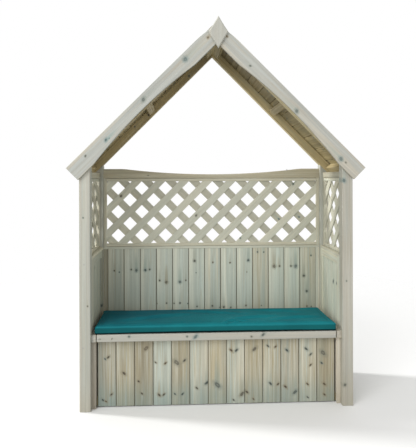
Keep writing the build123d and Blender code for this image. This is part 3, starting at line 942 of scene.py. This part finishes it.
def clipped(points, low, high):
    """A convex outline trimmed to an upright rectangle."""
    for axis in (0, 1):
        for limit, sign in ((low[axis], 1), (high[axis], -1)):
            kept = []
            for here, after in zip(points, points[1:] + points[:1]):
                a, b = sign * (here[axis] - limit), sign * (after[axis] - limit)
                if a >= 0:
                    kept.append(here)
                if a * b < 0:
                    share = a / (a - b)
                    kept.append(tuple(p + share * (q - p) for p, q in zip(here, after)))
            points = kept
    return points


def cleaned(outline):
    """The outline anticlockwise and without points that lie on one another, or nothing for a sliver."""
    kept = []
    for point in outline:
        if not kept or (Vector(point) - Vector(kept[-1])).length > NEAR_POINTS:
            kept.append(point)
    if kept and (Vector(kept[0]) - Vector(kept[-1])).length < NEAR_POINTS:
        kept.pop()
    area = sum(a[0] * b[1] - b[0] * a[1] for a, b in zip(kept, kept[1:] + kept[:1])) / 2
    if len(kept) < 3 or abs(area) < SLIVER:
        return None
    return kept if area > 0 else kept[::-1]


def add_trellis_frame(piece, base, inner, bar_depth):
    """The two uprights and two rails round a trellis."""
    node, height, half = piece.node, piece.size.z, TRELLIS_MEMBER / 2
    member = eased_bar(TRELLIS_MEMBER, bar_depth, TIMBER_EDGE)
    for index, side in enumerate((LEFT, RIGHT)):
        where = base @ Matrix.Translation((side * (inner + half), FRAME_SET_BACK, 0))
        piece.bar(member, where, height, Plank(f"{node} upright {index}", bright=0.05, warm=0.7, calm=0.6))
    for index, (v, outer) in enumerate(((half, -1), (height - half, 1))):
        where = base @ place(Z, Y, X, Vector((-inner, FRAME_SET_BACK, v)))
        section = shadow_bar(TRELLIS_MEMBER, bar_depth, TIMBER_EDGE, outer)
        piece.bar(section, where, 2 * inner, Plank(f"{node} rail {index}", bright=0.02, warm=0.7, calm=0.6))


def make_trellis(piece, base, width, depth, gap_drop, tones, marks=None):
    """A framed trellis panel: base holds its middle foot, across it, into it and up it."""
    node, height = piece.node, piece.size.z
    inner, opening_top = width / 2 - TRELLIS_MEMBER, height - TRELLIS_MEMBER
    add_trellis_frame(piece, base, inner, depth - FRAME_SET_BACK)
    low = (-inner - LATH_HOUSING, TRELLIS_MEMBER - LATH_HOUSING)
    high = (inner + LATH_HOUSING, opening_top + LATH_HOUSING)
    gap = Vector((0, 0, opening_top - gap_drop))
    reach, half = width + height, LATH_WIDTH / 2
    count = math.ceil(reach / LATH_PITCH)
    near = depth / 2 - LATH_THICKNESS
    for lean, deep in ((1, near), (-1, near + LATH_THICKNESS)):
        along = Vector((lean * ROOT_HALF, 0, ROOT_HALF))
        across = Vector((ROOT_HALF, 0, -lean * ROOT_HALF))
        for i in range(-count, count):
            middle = gap + across * (i + 0.5) * LATH_PITCH

            def on_lath(x, z):
                off = Vector((x, 0, z)) - middle
                return off.dot(across), off.dot(along)

            ends = [middle + across * u + along * v
                    for u, v in ((-half, -reach), (half, -reach), (half, reach), (-half, reach))]
            outline = cleaned([on_lath(x, z) for x, z in clipped([(c.x, c.z) for c in ends], low, high)])
            if outline is None:
                continue
            seed = f"{node} lath {lean} {i}"
            start, end = min(v for u, v in outline), max(v for u, v in outline)
            if marks:
                knots = [(*on_lath(x, z - base.translation.z), radius / 1000, 0.3, 0.5, hue)
                         for x, z, radius, hue in marks]
                knots = [knot for knot in knots if abs(knot[0]) < half]
            else:
                found = whorls(seed, end - start, *LATH_WHORLS)
                knots = [(u, v + start, *kind) for u, v, *kind in found]
            warm, bright = tones[lean]
            # Painted light on the laths at the left.
            bright += LATTICE_LEFT_PAINTED_LIGHT * max(0.0, min(1.0, (GAIN_START - middle.x) / GAIN_RUN))
            plank = Plank(seed, knots, bright, warm, calm=0.8)
            where = base @ place(across, Y, along, middle)
            piece.plate(outline, deep, deep + LATH_THICKNESS, LATH_EDGE, where, plank)
    piece.finish(node + "_lattice")


def make_trellises():
    piece = Piece("back_trellis")
    base = place(X, Y, Z, Vector((0, piece.low.y, piece.low.z)))
    make_trellis(piece, base, piece.size.x, piece.size.y, BACK_GAP_DROP, LATTICE_TONES, LATTICE_KNOTS)
    for side, piece in pair("side_trellis"):
        inner = piece.high.x if side == LEFT else piece.low.x
        base = place(-Y, X * side, Z, Vector((inner, piece.low.y + piece.size.y / 2, piece.low.z)))
        make_trellis(piece, base, piece.size.y, piece.size.x, SIDE_GAP_DROP, SIDE_LATTICE_TONES[side])


# Storage box

BOX_RAIL = 0.045
BOX_STILE = 0.025
CORNER_BATTEN = 0.024
SEAT_HALF = 0.709
SEAT_SIDE_BRIGHT = {LEFT: -0.04, RIGHT: 0.06}


def make_box_front():
    upright_boards("box_front_boards", "box_front_row", "front board", FRONT_BOARDS, 1.1, 0.6, 0.8,
                   band=0.3, calm=0.15, joint=0.7, foot=0.2)
    piece = Piece("box_front_rails")
    low, top_low = piece.low, piece.high.z - BOX_RAIL
    piece.fill("x", Plank("box bottom rail", whorls("bbr", 1.5, BOX_RAIL)), z=(low.z, low.z + BOX_RAIL))
    full, under = piece.size.x, span("seat_side_right")[LOW].z - top_low
    start, end = -SEAT_HALF - low.x, SEAT_HALF - low.x
    notched = [(under, 0), (under, start), (BOX_RAIL, start), (BOX_RAIL, end), (under, end), (under, full),
               (0, full), (0, 0)]
    where = place(Z, Y, X, Vector((low.x, low.y, top_low)))
    piece.plate(notched, 0.0, piece.size.y, TIMBER_EDGE / 2, where, Plank("box top rail"))
    piece.finish("box_rails")
    # The right corner batten is made lighter and the left one darker: painted light and shade.
    for node, width, painted_brights in (("corner_battens", CORNER_BATTEN, (-0.04, 0.5)),
                                 ("box_front_stiles", BOX_STILE, (0.0, 0.0))):
        piece = Piece(node)
        for side, bright in zip((LEFT, RIGHT), painted_brights):
            piece.fill("z", Plank(f"{node} {side}", bright=bright, warm=0.9, calm=0.2),
                       x=(side * (piece.high.x - width), side * piece.high.x))
        piece.finish(material=WOODS["trim_wood"])


def make_box_inside():
    flat_boards("floor_boards", "floor_row", "floor board", 1.45)
    piece = Piece("box_bearers")
    low, high = piece.low, piece.high
    back, lid_half = high.y - BOX_STILE, span("lid_boards")[HIGH].x
    piece.fill("x", Plank("floor bearer"), x=(-lid_half, lid_half), y=(back, high.y),
               z=(low.z, low.z + BOX_RAIL))
    for side in (LEFT, RIGHT):
        piece.fill("y", Plank(f"seat bearer {side}"), x=(side * (SEAT_HALF - BOX_STILE), side * SEAT_HALF),
                   y=(low.y, back), z=(high.z - BOX_RAIL, high.z))
    piece.finish("bearers")


def make_seat_surround():
    piece = Piece("seat_back_board")
    low, high, lid_under = piece.low, piece.high, span("lid_boards")[LOW].z
    piece.fill("x", Plank("fixed strip"), z=(lid_under, high.z))
    piece.fill("x", Plank("fixed rail"), y=(high.y - BOX_STILE, high.y), z=(low.z, lid_under))
    piece.finish("seat_back_strip")
    for side, piece in pair("seat_side"):
        piece.fill("y", Plank(piece.node, bright=SEAT_SIDE_BRIGHT[side], warm=0.6))
        piece.finish()


# Lid

LID_BATTEN = 0.045
# Knots of the front rail as (x, height in it, radius in millimetres, lean, hue)
RAIL_KNOTS = [(-0.684, 0.018, 3, 0.1, 0.5), (-0.616, 0.019, 3, -0.9, 0.6), (-0.517, 0.030, 6, -0.2, 0.3),
              (-0.180, 0.025, 5, 0.1, 0.4), (-0.130, 0.023, 8, -0.8, GREY), (0.199, 0.018, 5, 0.2, 0.6),
              (0.268, 0.028, 7, -0.7, 0.3)]


def make_lid():
    flat_boards("lid_boards", "lid_boards_row", "lid board", 1.4)
    piece = Piece("lid_front_rail")
    knots = [(z - piece.size.z / 2, x - piece.low.x, radius / 1000, lean, 0.3, hue)
             for x, z, radius, lean, hue in RAIL_KNOTS]
    piece.fill("x", Plank("seat rail", knots, warm=0.4, calm=0.4), POST_EDGE)
    piece.finish()
    piece = Piece("lid_battens")
    for x in (piece.low.x, -LID_BATTEN / 2, piece.high.x - LID_BATTEN):
        piece.fill("y", Plank(f"lid batten {x:.2f}"), x=(x, x + LID_BATTEN))
    piece.finish()


for make in (make_posts, make_bargeboards, make_finial, make_rafters, make_battens, make_roof_boards,
             make_back_panel, make_side_panels, make_caps_and_rails, make_back_top_rail, make_trellises,
             make_box_front, make_box_inside, make_seat_surround, make_lid):
    make()


# Hinges and screws

HINGE = next(joint for joint in RECORD["behaviour"]["joints"] if joint["name"] == "lid_hinge")
HINGE_AXIS = Vector(HINGE["pos_m"])
HINGE_LENGTH = 0.076
BARREL = 0.004
PIN = 0.0018
PIN_PLAY = 0.0001
LEAF = 0.002
LEAF_CORNER = 0.003
NECK_SET_IN, NECK_IN_BARREL, NECK_IN_LEAF = 0.0001, 0.001, 0.002
METAL_EASE = 0.0003
KNUCKLES = 5
KNUCKLE_GAP = 0.0004
SCREW = 0.0034
WOOD_SCREW = 0.0042
# Rings of a screw head as (rise, share of its radius), and of the pin as (place in from its end, share)
SCREW_RINGS = ((-0.0002, 1.0), (0.0002, 1.0), (0.0006, 0.8), (0.0007, 0.45), (-0.0001, 0.38))
PIN_END, PIN_TAPER = 0.0005, 0.6
# Screws of a leaf as (share of its length, place in from its far edge)
LEAF_SCREWS = ((0.16, 0.007), (0.5, 0.014), (0.84, 0.007))


def circle(radius, steps):
    angles = [2 * math.pi * i / steps for i in range(steps)]
    return [(radius * math.cos(a), radius * math.sin(a)) for a in angles]


class Metal(Piece):
    """Gathers the steel parts of one piece."""

    sharp = 40

    def turned(self, profile, steps, closed=False):
        """A round shape on the hinge's axis, from (x, radius) along it."""
        rings = [[(x, HINGE_AXIS.y + a, HINGE_AXIS.z + b) for a, b in circle(radius, steps)]
                 for x, radius in profile]
        self.skin(rings, closed=closed)

    def tube(self, x0, x1):
        """A knuckle with eased rims and a hole through it."""
        ease, bore = METAL_EASE, PIN + PIN_PLAY
        self.turned([(x0, bore), (x0, BARREL - ease), (x0 + ease, BARREL), (x1 - ease, BARREL),
                     (x1, BARREL - ease), (x1, bore)], 20, closed=True)

    def leaf(self, x0, x1, near, far, z0, z1):
        """A flat leaf with rounded far corners and eased edges. near and far are places along Y."""
        sign = 1 if far > near else -1
        turn_y = far - sign * LEAF_CORNER
        outline = [(x0, near), (x1, near)] + corner(x1 - LEAF_CORNER, turn_y, LEAF_CORNER, 0, 5, sign)
        outline += corner(x0 + LEAF_CORNER, turn_y, LEAF_CORNER, 1, 5, sign)
        outline = outline[::sign]
        small = inset(outline, METAL_EASE)
        layers = ((small, z0), (outline, z0 + METAL_EASE), (outline, z1 - METAL_EASE), (small, z1))
        self.skin([[(x, y, z) for x, y in points] for points, z in layers])

    def screw(self, spot, across=X, up=Y, radius=SCREW):
        """A domed screw head with a round drive hole, whose face looks the way of across x up."""
        spot, out = Vector(spot), across.cross(up)
        self.skin([[spot + across * a + up * b + out * rise for a, b in circle(radius * share, 16)]
                   for rise, share in SCREW_RINGS])


def steel():
    """Zinc-plated steel, dulled in patches."""
    shader = Shader("hinge steel")
    x, y, z = shader.position()
    cloud = shader.noise(x * 60, y * 60, z * 60, 3)
    shader.bump(shader.noise(x * 900, y * 900, z * 900), 0.0001, 0.3)
    base = shader.mix(cloud.step(0.35, 0.7), (0.55, 0.55, 0.53), (0.36, 0.36, 0.35))
    shader.set(Base_Color=base, Roughness=cloud * 0.25 + 0.28, Metallic=1.0)
    return shader.material


STEEL = steel()


def make_hinges():
    step = HINGE_LENGTH / KNUCKLES
    z0, z1 = HINGE_AXIS.z - LEAF / 2, HINGE_AXIS.z + LEAF / 2
    for node, side, turns in (("hinge_lid_leaves", -1, (1, 3)), ("hinge_fixed_leaves", 1, (0, 2, 4))):
        piece = Metal(node)
        far = piece.low.y if side < 0 else piece.high.y
        near = HINGE_AXIS.y + side * (BARREL + KNUCKLE_GAP)
        front, back = sorted((HINGE_AXIS.y + side * (BARREL - NECK_IN_BARREL), near + side * NECK_IN_LEAF))
        under, over = z0 + NECK_SET_IN, z1 - NECK_SET_IN
        neck = [(front, under), (back, under), (back, over), (front, over)]
        for x0 in (piece.low.x, piece.high.x - HINGE_LENGTH):
            x1 = x0 + HINGE_LENGTH
            piece.leaf(x0, x1, near, far, z0, z1)
            for i in turns:
                a, b = x0 + i * step + KNUCKLE_GAP / 2, x0 + (i + 1) * step - KNUCKLE_GAP / 2
                piece.tube(a, b)
                piece.skin([[(x, y, z) for y, z in neck] for x in (a, b)])
            if side > 0:
                piece.turned([(x0, PIN * PIN_TAPER), (x0 + PIN_END, PIN), (x1 - PIN_END, PIN),
                              (x1, PIN * PIN_TAPER)], 16)
            for share, inward in LEAF_SCREWS:
                piece.screw((x0 + HINGE_LENGTH * share, far - side * inward, z1))
        piece.finish(node + "_steel", STEEL)


# Screws that hold the frame, seen from the front: the node they are in, and places across and up
FRAME_SCREWS = {"front_post_right": ((-0.771, 0.851), (-0.778, 0.370)), "back_top_rail": ((0.510, 1.400),),
                "back_trellis": ((-0.708, 1.322), (0.705, 1.324), (0.618, 1.344))}
LID_SCREWS = {"lid_front_rail": ((-0.694, 0.414), (0.694, 0.414))}


def make_screws():
    for name, like, screws in (("frame_screws", "hinge_fixed_leaves", FRAME_SCREWS),
                               ("lid_screws", "hinge_lid_leaves", LID_SCREWS)):
        piece = Metal(like)
        for node, places in screws.items():
            y = span(node)[LOW].y + (FRAME_SET_BACK if node == "back_trellis" else 0.0)
            for x, z in places:
                piece.screw((x, y, z), X, Z, WOOD_SCREW)
        piece.finish(name, STEEL, stands=False)


make_hinges()
make_screws()


# Cushion: a sewn cover filled by cloth simulation, at rest on the lid

PAD_INSET = Vector((-0.012, -0.002, 0.0))
PAD_SHIFT = Vector((-0.005, -0.006, 0.0))
PAD_FLAT = 0.0415
PAD_CROWN = 0.08
PAD_SLOPE = 0.10
PAD_SKEW = 0.009
PAD_DRAW_IN = 0.004
PAD_CORNER = 0.004
PAD_CORNER_TURNS = (0, 25, 45, 65, 90)
PAD_TUCK, PAD_PINCH = 0.9, 12
PAD_FRONT = 0.010
PAD_UNDER = 0.007
PAD_BACK = 0.008
PAD_VOXEL = 0.008
PAD_RUNS = 24
FILL_TRAVEL = 0.006
FILL_FRAMES = 20
# Folds as (start, end, height, width), and how far each bows to its side
FOLDS = (
    ((-0.62, -0.13), (-0.10, 0.03), 0.00874, 0.030),
    ((-0.30, 0.11), (0.22, -0.02), 0.00684, 0.026),
    ((0.02, -0.17), (0.42, -0.05), 0.00950, 0.024),
    ((0.30, -0.16), (0.68, -0.09), 0.00988, 0.022),
    ((0.22, 0.10), (0.60, 0.02), 0.00722, 0.028),
    ((0.03, -0.235), (0.14, -0.155), 0.00874, 0.012),
    ((0.09, -0.235), (0.20, -0.170), 0.00760, 0.011),
)
FOLD_BOW = 0.018
# The dip beside a fold: its place in widths, and its depth as a share of the fold's height
DIP_PLACE, DIP_SHARE = 1.7, 0.4


def pad_height(along, across):
    """The pad's height before it is filled, at shares of its half length and half depth."""
    return PAD_FLAT * (1 + PAD_CROWN * (1 - along ** 2)) * (1 - PAD_SLOPE * across)


def pad_section(half, front):
    """The pad across its length: a closed loop of (y, z), with its own radius along the top front edge."""
    corners = ((PAD_UNDER - half, PAD_UNDER, PAD_UNDER, 2),
               (half - PAD_UNDER, PAD_UNDER, PAD_UNDER, 3),
               (half - PAD_BACK, PAD_FLAT - PAD_BACK, PAD_BACK, 0),
               (front - half, PAD_FLAT - front, front, 1))
    return [p for y, z, radius, turn in corners for p in corner(y, z, radius, turn, 6)]


def pad_mesh(middle, half, foot):
    """The cover before it is filled, its sides drawn in between its corners."""
    inner = half.x - PAD_CORNER
    stations = [half.x - PAD_CORNER * (1 - math.cos(math.radians(a))) for a in PAD_CORNER_TURNS]
    stations += [inner - inner * i / PAD_RUNS for i in range(1, PAD_RUNS)] + [0.0]
    stations += [-s for s in reversed(stations[:-1])]
    rings = []
    for station in stations:
        share = station / half.x
        short = max(0.0, abs(station) - inner)
        tuck = PAD_CORNER - math.sqrt(max(0.0, PAD_CORNER ** 2 - short ** 2))
        ring = []
        for y, z in pad_section(half.y - tuck * PAD_TUCK, PAD_CORNER + PAD_FRONT * (1 - share ** 2)):
            across = y / half.y
            draw_y = PAD_DRAW_IN * (1 - share * share) * across
            draw_x = PAD_DRAW_IN * (1 - across ** 2) * abs(share) ** PAD_PINCH * (1 if station > 0 else -1)
            skew = PAD_SKEW * max(0.0, -share) * (across + 1) / 2
            z = min(max(z, tuck), PAD_FLAT - tuck) * pad_height(share, across) / PAD_FLAT
            ring.append((middle.x + station - draw_x - skew, middle.y + y - draw_y, foot + z))
        rings.append(ring)
    mesh = bpy.data.meshes.new("cushion cover")
    mesh.from_pydata([p for ring in rings for p in ring], [], ring_faces(rings, False))
    return mesh


def evaluated(thing):
    """The object's mesh with its modifiers applied, as a new mesh, and without them from then on."""
    mesh = bpy.data.meshes.new_from_object(thing.evaluated_get(bpy.context.evaluated_depsgraph_get()))
    thing.modifiers.clear()
    return mesh


def fold_height(x, y):
    """How far the folds lift the cover at a place: soft ridges, each with a dip beside it."""
    rise = 0.0
    for start, end, height, width in FOLDS:
        run = Vector(end) - Vector(start)
        off = Vector((x, y)) - Vector(start)
        share = off.dot(run) / run.length_squared
        if 0 < share < 1:
            swell = math.sin(share * math.pi)
            side = (off.x * run.y - off.y * run.x) / run.length + FOLD_BOW * swell
            dip = math.exp(-((side - DIP_PLACE * width) / width) ** 2)
            rise += height * swell * (math.exp(-(side / width) ** 2) - DIP_SHARE * dip)
    return rise


def filled(thing):
    """Fills the cover with air for a moment, and returns where each point of it comes to rest."""
    modifier = thing.modifiers.new("fill", "CLOTH")
    cloth = modifier.settings
    cloth.quality, cloth.mass = 6, 0.3
    cloth.tension_stiffness, cloth.compression_stiffness = 20, 12
    cloth.shear_stiffness, cloth.bending_stiffness = 8, 3
    cloth.use_pressure, cloth.uniform_pressure_force = True, 4
    cloth.shrink_min = -0.012
    cloth.effector_weights.gravity = 0
    modifier.point_cache.frame_start = 1
    modifier.point_cache.frame_end = FILL_FRAMES
    scene = bpy.context.scene
    for frame_number in range(1, FILL_FRAMES + 1):
        scene.frame_set(frame_number)
    mesh = evaluated(thing)
    found = [v.co.copy() for v in mesh.vertices]
    scene.frame_set(1)
    bpy.data.meshes.remove(mesh)
    return found


def make_cushion():
    low, high = span("cushion")
    middle, half = (low + high) / 2 + PAD_SHIFT, (high - low) / 2 - PAD_INSET
    thing = add("cushion_pad", pad_mesh(middle, half, low.z))
    remesh = thing.modifiers.new("even", "REMESH")
    remesh.mode, remesh.voxel_size = "VOXEL", PAD_VOXEL
    even = thing.data = evaluated(thing)
    start = [v.co.copy() for v in even.vertices]
    rest = filled(thing)
    seams = []
    for vertex, old, new in zip(even.vertices, start, rest):
        move = new - old
        if move.length > FILL_TRAVEL:
            move *= FILL_TRAVEL / move.length
        spot, off = old + move, old - middle
        height, above = pad_height(off.x / half.x, off.y / half.y), old.z - low.z
        spot.z += fold_height(old.x, old.y) * min(max(above / height, 0.0), 1.0) ** 3
        spot.z = max(spot.z, low.z)
        vertex.co = spot
        inward = min(half.x - abs(off.x), half.y - abs(off.y))
        seams.append((inward - height + above, inward - above, old.x + old.y))
    keep(even, "seam", "POINT", seams)
    smooth = thing.modifiers.new("round", "SUBSURF")
    smooth.levels = smooth.render_levels = 1
    thing.data = evaluated(thing)
    thing.data.shade_smooth()
    thing.data.materials.append(cushion_cloth())
    settle(thing, "cushion")


THREAD = 0.0011
STITCH = 0.0045
SEAM_SET_IN = 0.001


def cushion_cloth():
    """Woven polyester, dull green blue, with a stitched seam along its top and bottom edges, and with
    painted light, shade and highlights in its colour.
    """
    shader = Shader("cushion cloth")
    mix, noise = shader.mix, shader.noise
    x, y, z = shader.position()
    top_seam, low_seam, along = shader.attribute("seam")
    turn = 2 * math.pi / THREAD
    weave = abs(((x + z) * turn).math("SINE") * ((y + z * 0.7) * turn).math("SINE"))
    slub = noise(x * 90, y * 900, z * 900) + noise(x * 900, y * 90, z * 900)
    cloud = noise(x * 6, y * 9, z * 9)
    crease = noise(x * 14 + y * 9, y * 34 - x * 6, z * 30, 3, 0.55)
    seam = abs(top_seam + SEAM_SET_IN).math("MINIMUM", abs(low_seam + SEAM_SET_IN))
    # The seam's groove: pressed in by the bump, and darkened in colour as painted shade.
    groove = seam.fall(0.0, 0.0022)
    pucker = seam.fall(0.001, 0.016) * (along * (2 * math.pi / STITCH) + crease * 9.0).math("SINE")
    # The front and end faces below the top edge, darkened in colour as painted shade.
    side = top_seam.fall(-0.012, -0.002)
    # A strip along the top edge, lightened in colour as a painted highlight.
    band = top_seam.step(-0.008, -0.001) * top_seam.fall(0.001, 0.010)
    base = mix(cloud.step(0.3, 0.7), (0.004, 0.135, 0.165), (0.006, 0.170, 0.200))
    base = mix(weave * 0.35, base, (0.012, 0.200, 0.225))
    # Painted light and shade: darker towards the left end and the back, lighter towards the right.
    painted_light_gradient = (x - y * 2.0).step(-0.62, 0.27)
    base = shader.times(base, mix(painted_light_gradient, (0.74, 0.70, 0.78), (1.27, 1.21, 1.18)))
    for share, shade in ((slub.step(0.8, 1.4) * 0.25, (0.008, 0.080, 0.088)),
                         (groove * 0.7, (0.005, 0.045, 0.050)),
                         (side * 0.6, (0.008, 0.075, 0.070)),
                         (band * 0.6, (0.024, 0.260, 0.290)),
                         # A near black strip low on the side faces: painted shadow under the bottom roll.
                         (low_seam.step(-0.011, -0.005) * side, (0.001, 0.012, 0.013))):
        base = mix(share, base, shade)
    shader.bump(crease * 1.0 + weave * 0.10 - groove * 0.8 + pucker * 0.14, 0.0035, 0.7)
    shader.set(Base_Color=base, Roughness=cloud * 0.12 + 0.62, Sheen_Weight=0.015, Sheen_Roughness=0.5,
               Specular_IOR_Level=0.05)
    return shader.material


make_cushion()


# Camera, light and floor

CAMERA_PLACE = (-0.2048, -3.3144, 1.351)
CAMERA_YAW = 0.049
CAMERA_PITCH = -0.0013
CAMERA_ROLL = -0.003
PHOTO_WIDTH, PHOTO_HEIGHT = 416, 448
FOCAL_PIXELS = 524
CENTRE_ROW = 178
SENSOR = 36.0
WORLD_LIGHT = 0.75
FLOOR_REACH = 12.0
FLOOR_FADE = (1.6, 4.6)
FLOOR_LIT, FLOOR_SEEN = (0.42, 0.41, 0.39), (0.83, 0.83, 0.82)
# Soft lamps as (name, place, aim, watts, size)
LAMPS = (("key", (-5.0, -7.5, 8.0), (0, 0, 1.0), 440.0, 6.0),
         ("low fill", (-3.2, -3.6, 1.1), (0.3, 0, 0.9), 44.0, 2.4),
         ("right fill", (2.6, -3.2, 0.4), (-0.5, 0, 1.8), 14.0, 1.8))
SUN_PLACE, SUN_STRENGTH, SUN_ANGLE = (-6.0, 1.5, 4.0), 2.6, math.radians(8)


def make_camera():
    data = bpy.data.cameras.new("camera")
    data.sensor_fit, data.sensor_width = "HORIZONTAL", SENSOR
    data.lens = FOCAL_PIXELS / PHOTO_WIDTH * SENSOR
    data.shift_y = (CENTRE_ROW - PHOTO_HEIGHT / 2) / PHOTO_WIDTH
    camera = add("camera", data)
    turn = Matrix.Rotation(-CAMERA_YAW, 4, "Z") @ Matrix.Rotation(QUARTER + CAMERA_PITCH, 4, "X")
    camera.matrix_world = Matrix.Translation(CAMERA_PLACE) @ turn @ Matrix.Rotation(CAMERA_ROLL, 4, "Z")
    bpy.context.scene.camera = camera


def make_light(name, kind, spot, aim, strength, **shape):
    data = bpy.data.lights.new(name, kind)
    data.energy = strength
    for key, value in shape.items():
        setattr(data, key, value)
    turn = (Vector(aim) - Vector(spot)).to_track_quat("-Z", "Y").to_matrix().to_4x4()
    add(name, data).matrix_world = Matrix.Translation(spot) @ turn


def make_world():
    world = bpy.data.worlds.new("studio")
    bpy.context.scene.world = world
    world.use_nodes = True
    tree = world.node_tree
    back = tree.nodes["Background"].inputs
    join(tree, back["Color"], (1.0, 1.0, 1.0))
    path = tree.nodes.new("ShaderNodeLightPath")
    camera, gloss, through = [Field(tree, path.outputs[f"Is {kind} Ray"])
                              for kind in ("Camera", "Glossy", "Transmission")]
    seen = camera.math("MAXIMUM", gloss).math("MAXIMUM", through)
    join(tree, back["Strength"], seen * (1.0 - WORLD_LIGHT) + WORLD_LIGHT)


def make_floor():
    """A pale floor that fades into the white background, and throws little light up under the roof."""
    shader = Shader("studio floor")
    x, y = shader.position()[:2]
    seen = shader.node("ShaderNodeLightPath", out="Is Camera Ray")
    near = (x * x + y * y * 0.6).math("SQRT").fall(*FLOOR_FADE)
    shader.set(Base_Color=shader.mix(seen, FLOOR_LIT, FLOOR_SEEN), Alpha=near, Roughness=0.9,
               Specular_IOR_Level=0.1)
    mesh = bpy.data.meshes.new("floor")
    reach = FLOOR_REACH
    corners = [(-reach, -reach, 0), (reach, -reach, 0), (reach, reach, 0), (-reach, reach, 0)]
    mesh.from_pydata(corners, [], [(0, 1, 2, 3)])
    mesh.materials.append(shader.material)
    add("floor", mesh)


make_camera()
make_world()
for name, spot, aim, strength, size in LAMPS:
    make_light(name, "AREA", spot, aim, strength, shape="DISK", size=size)
make_light("left sun", "SUN", SUN_PLACE, (0, 0, 1.0), SUN_STRENGTH, angle=SUN_ANGLE)
make_floor()
bpy.context.scene.view_settings.view_transform = "Standard"
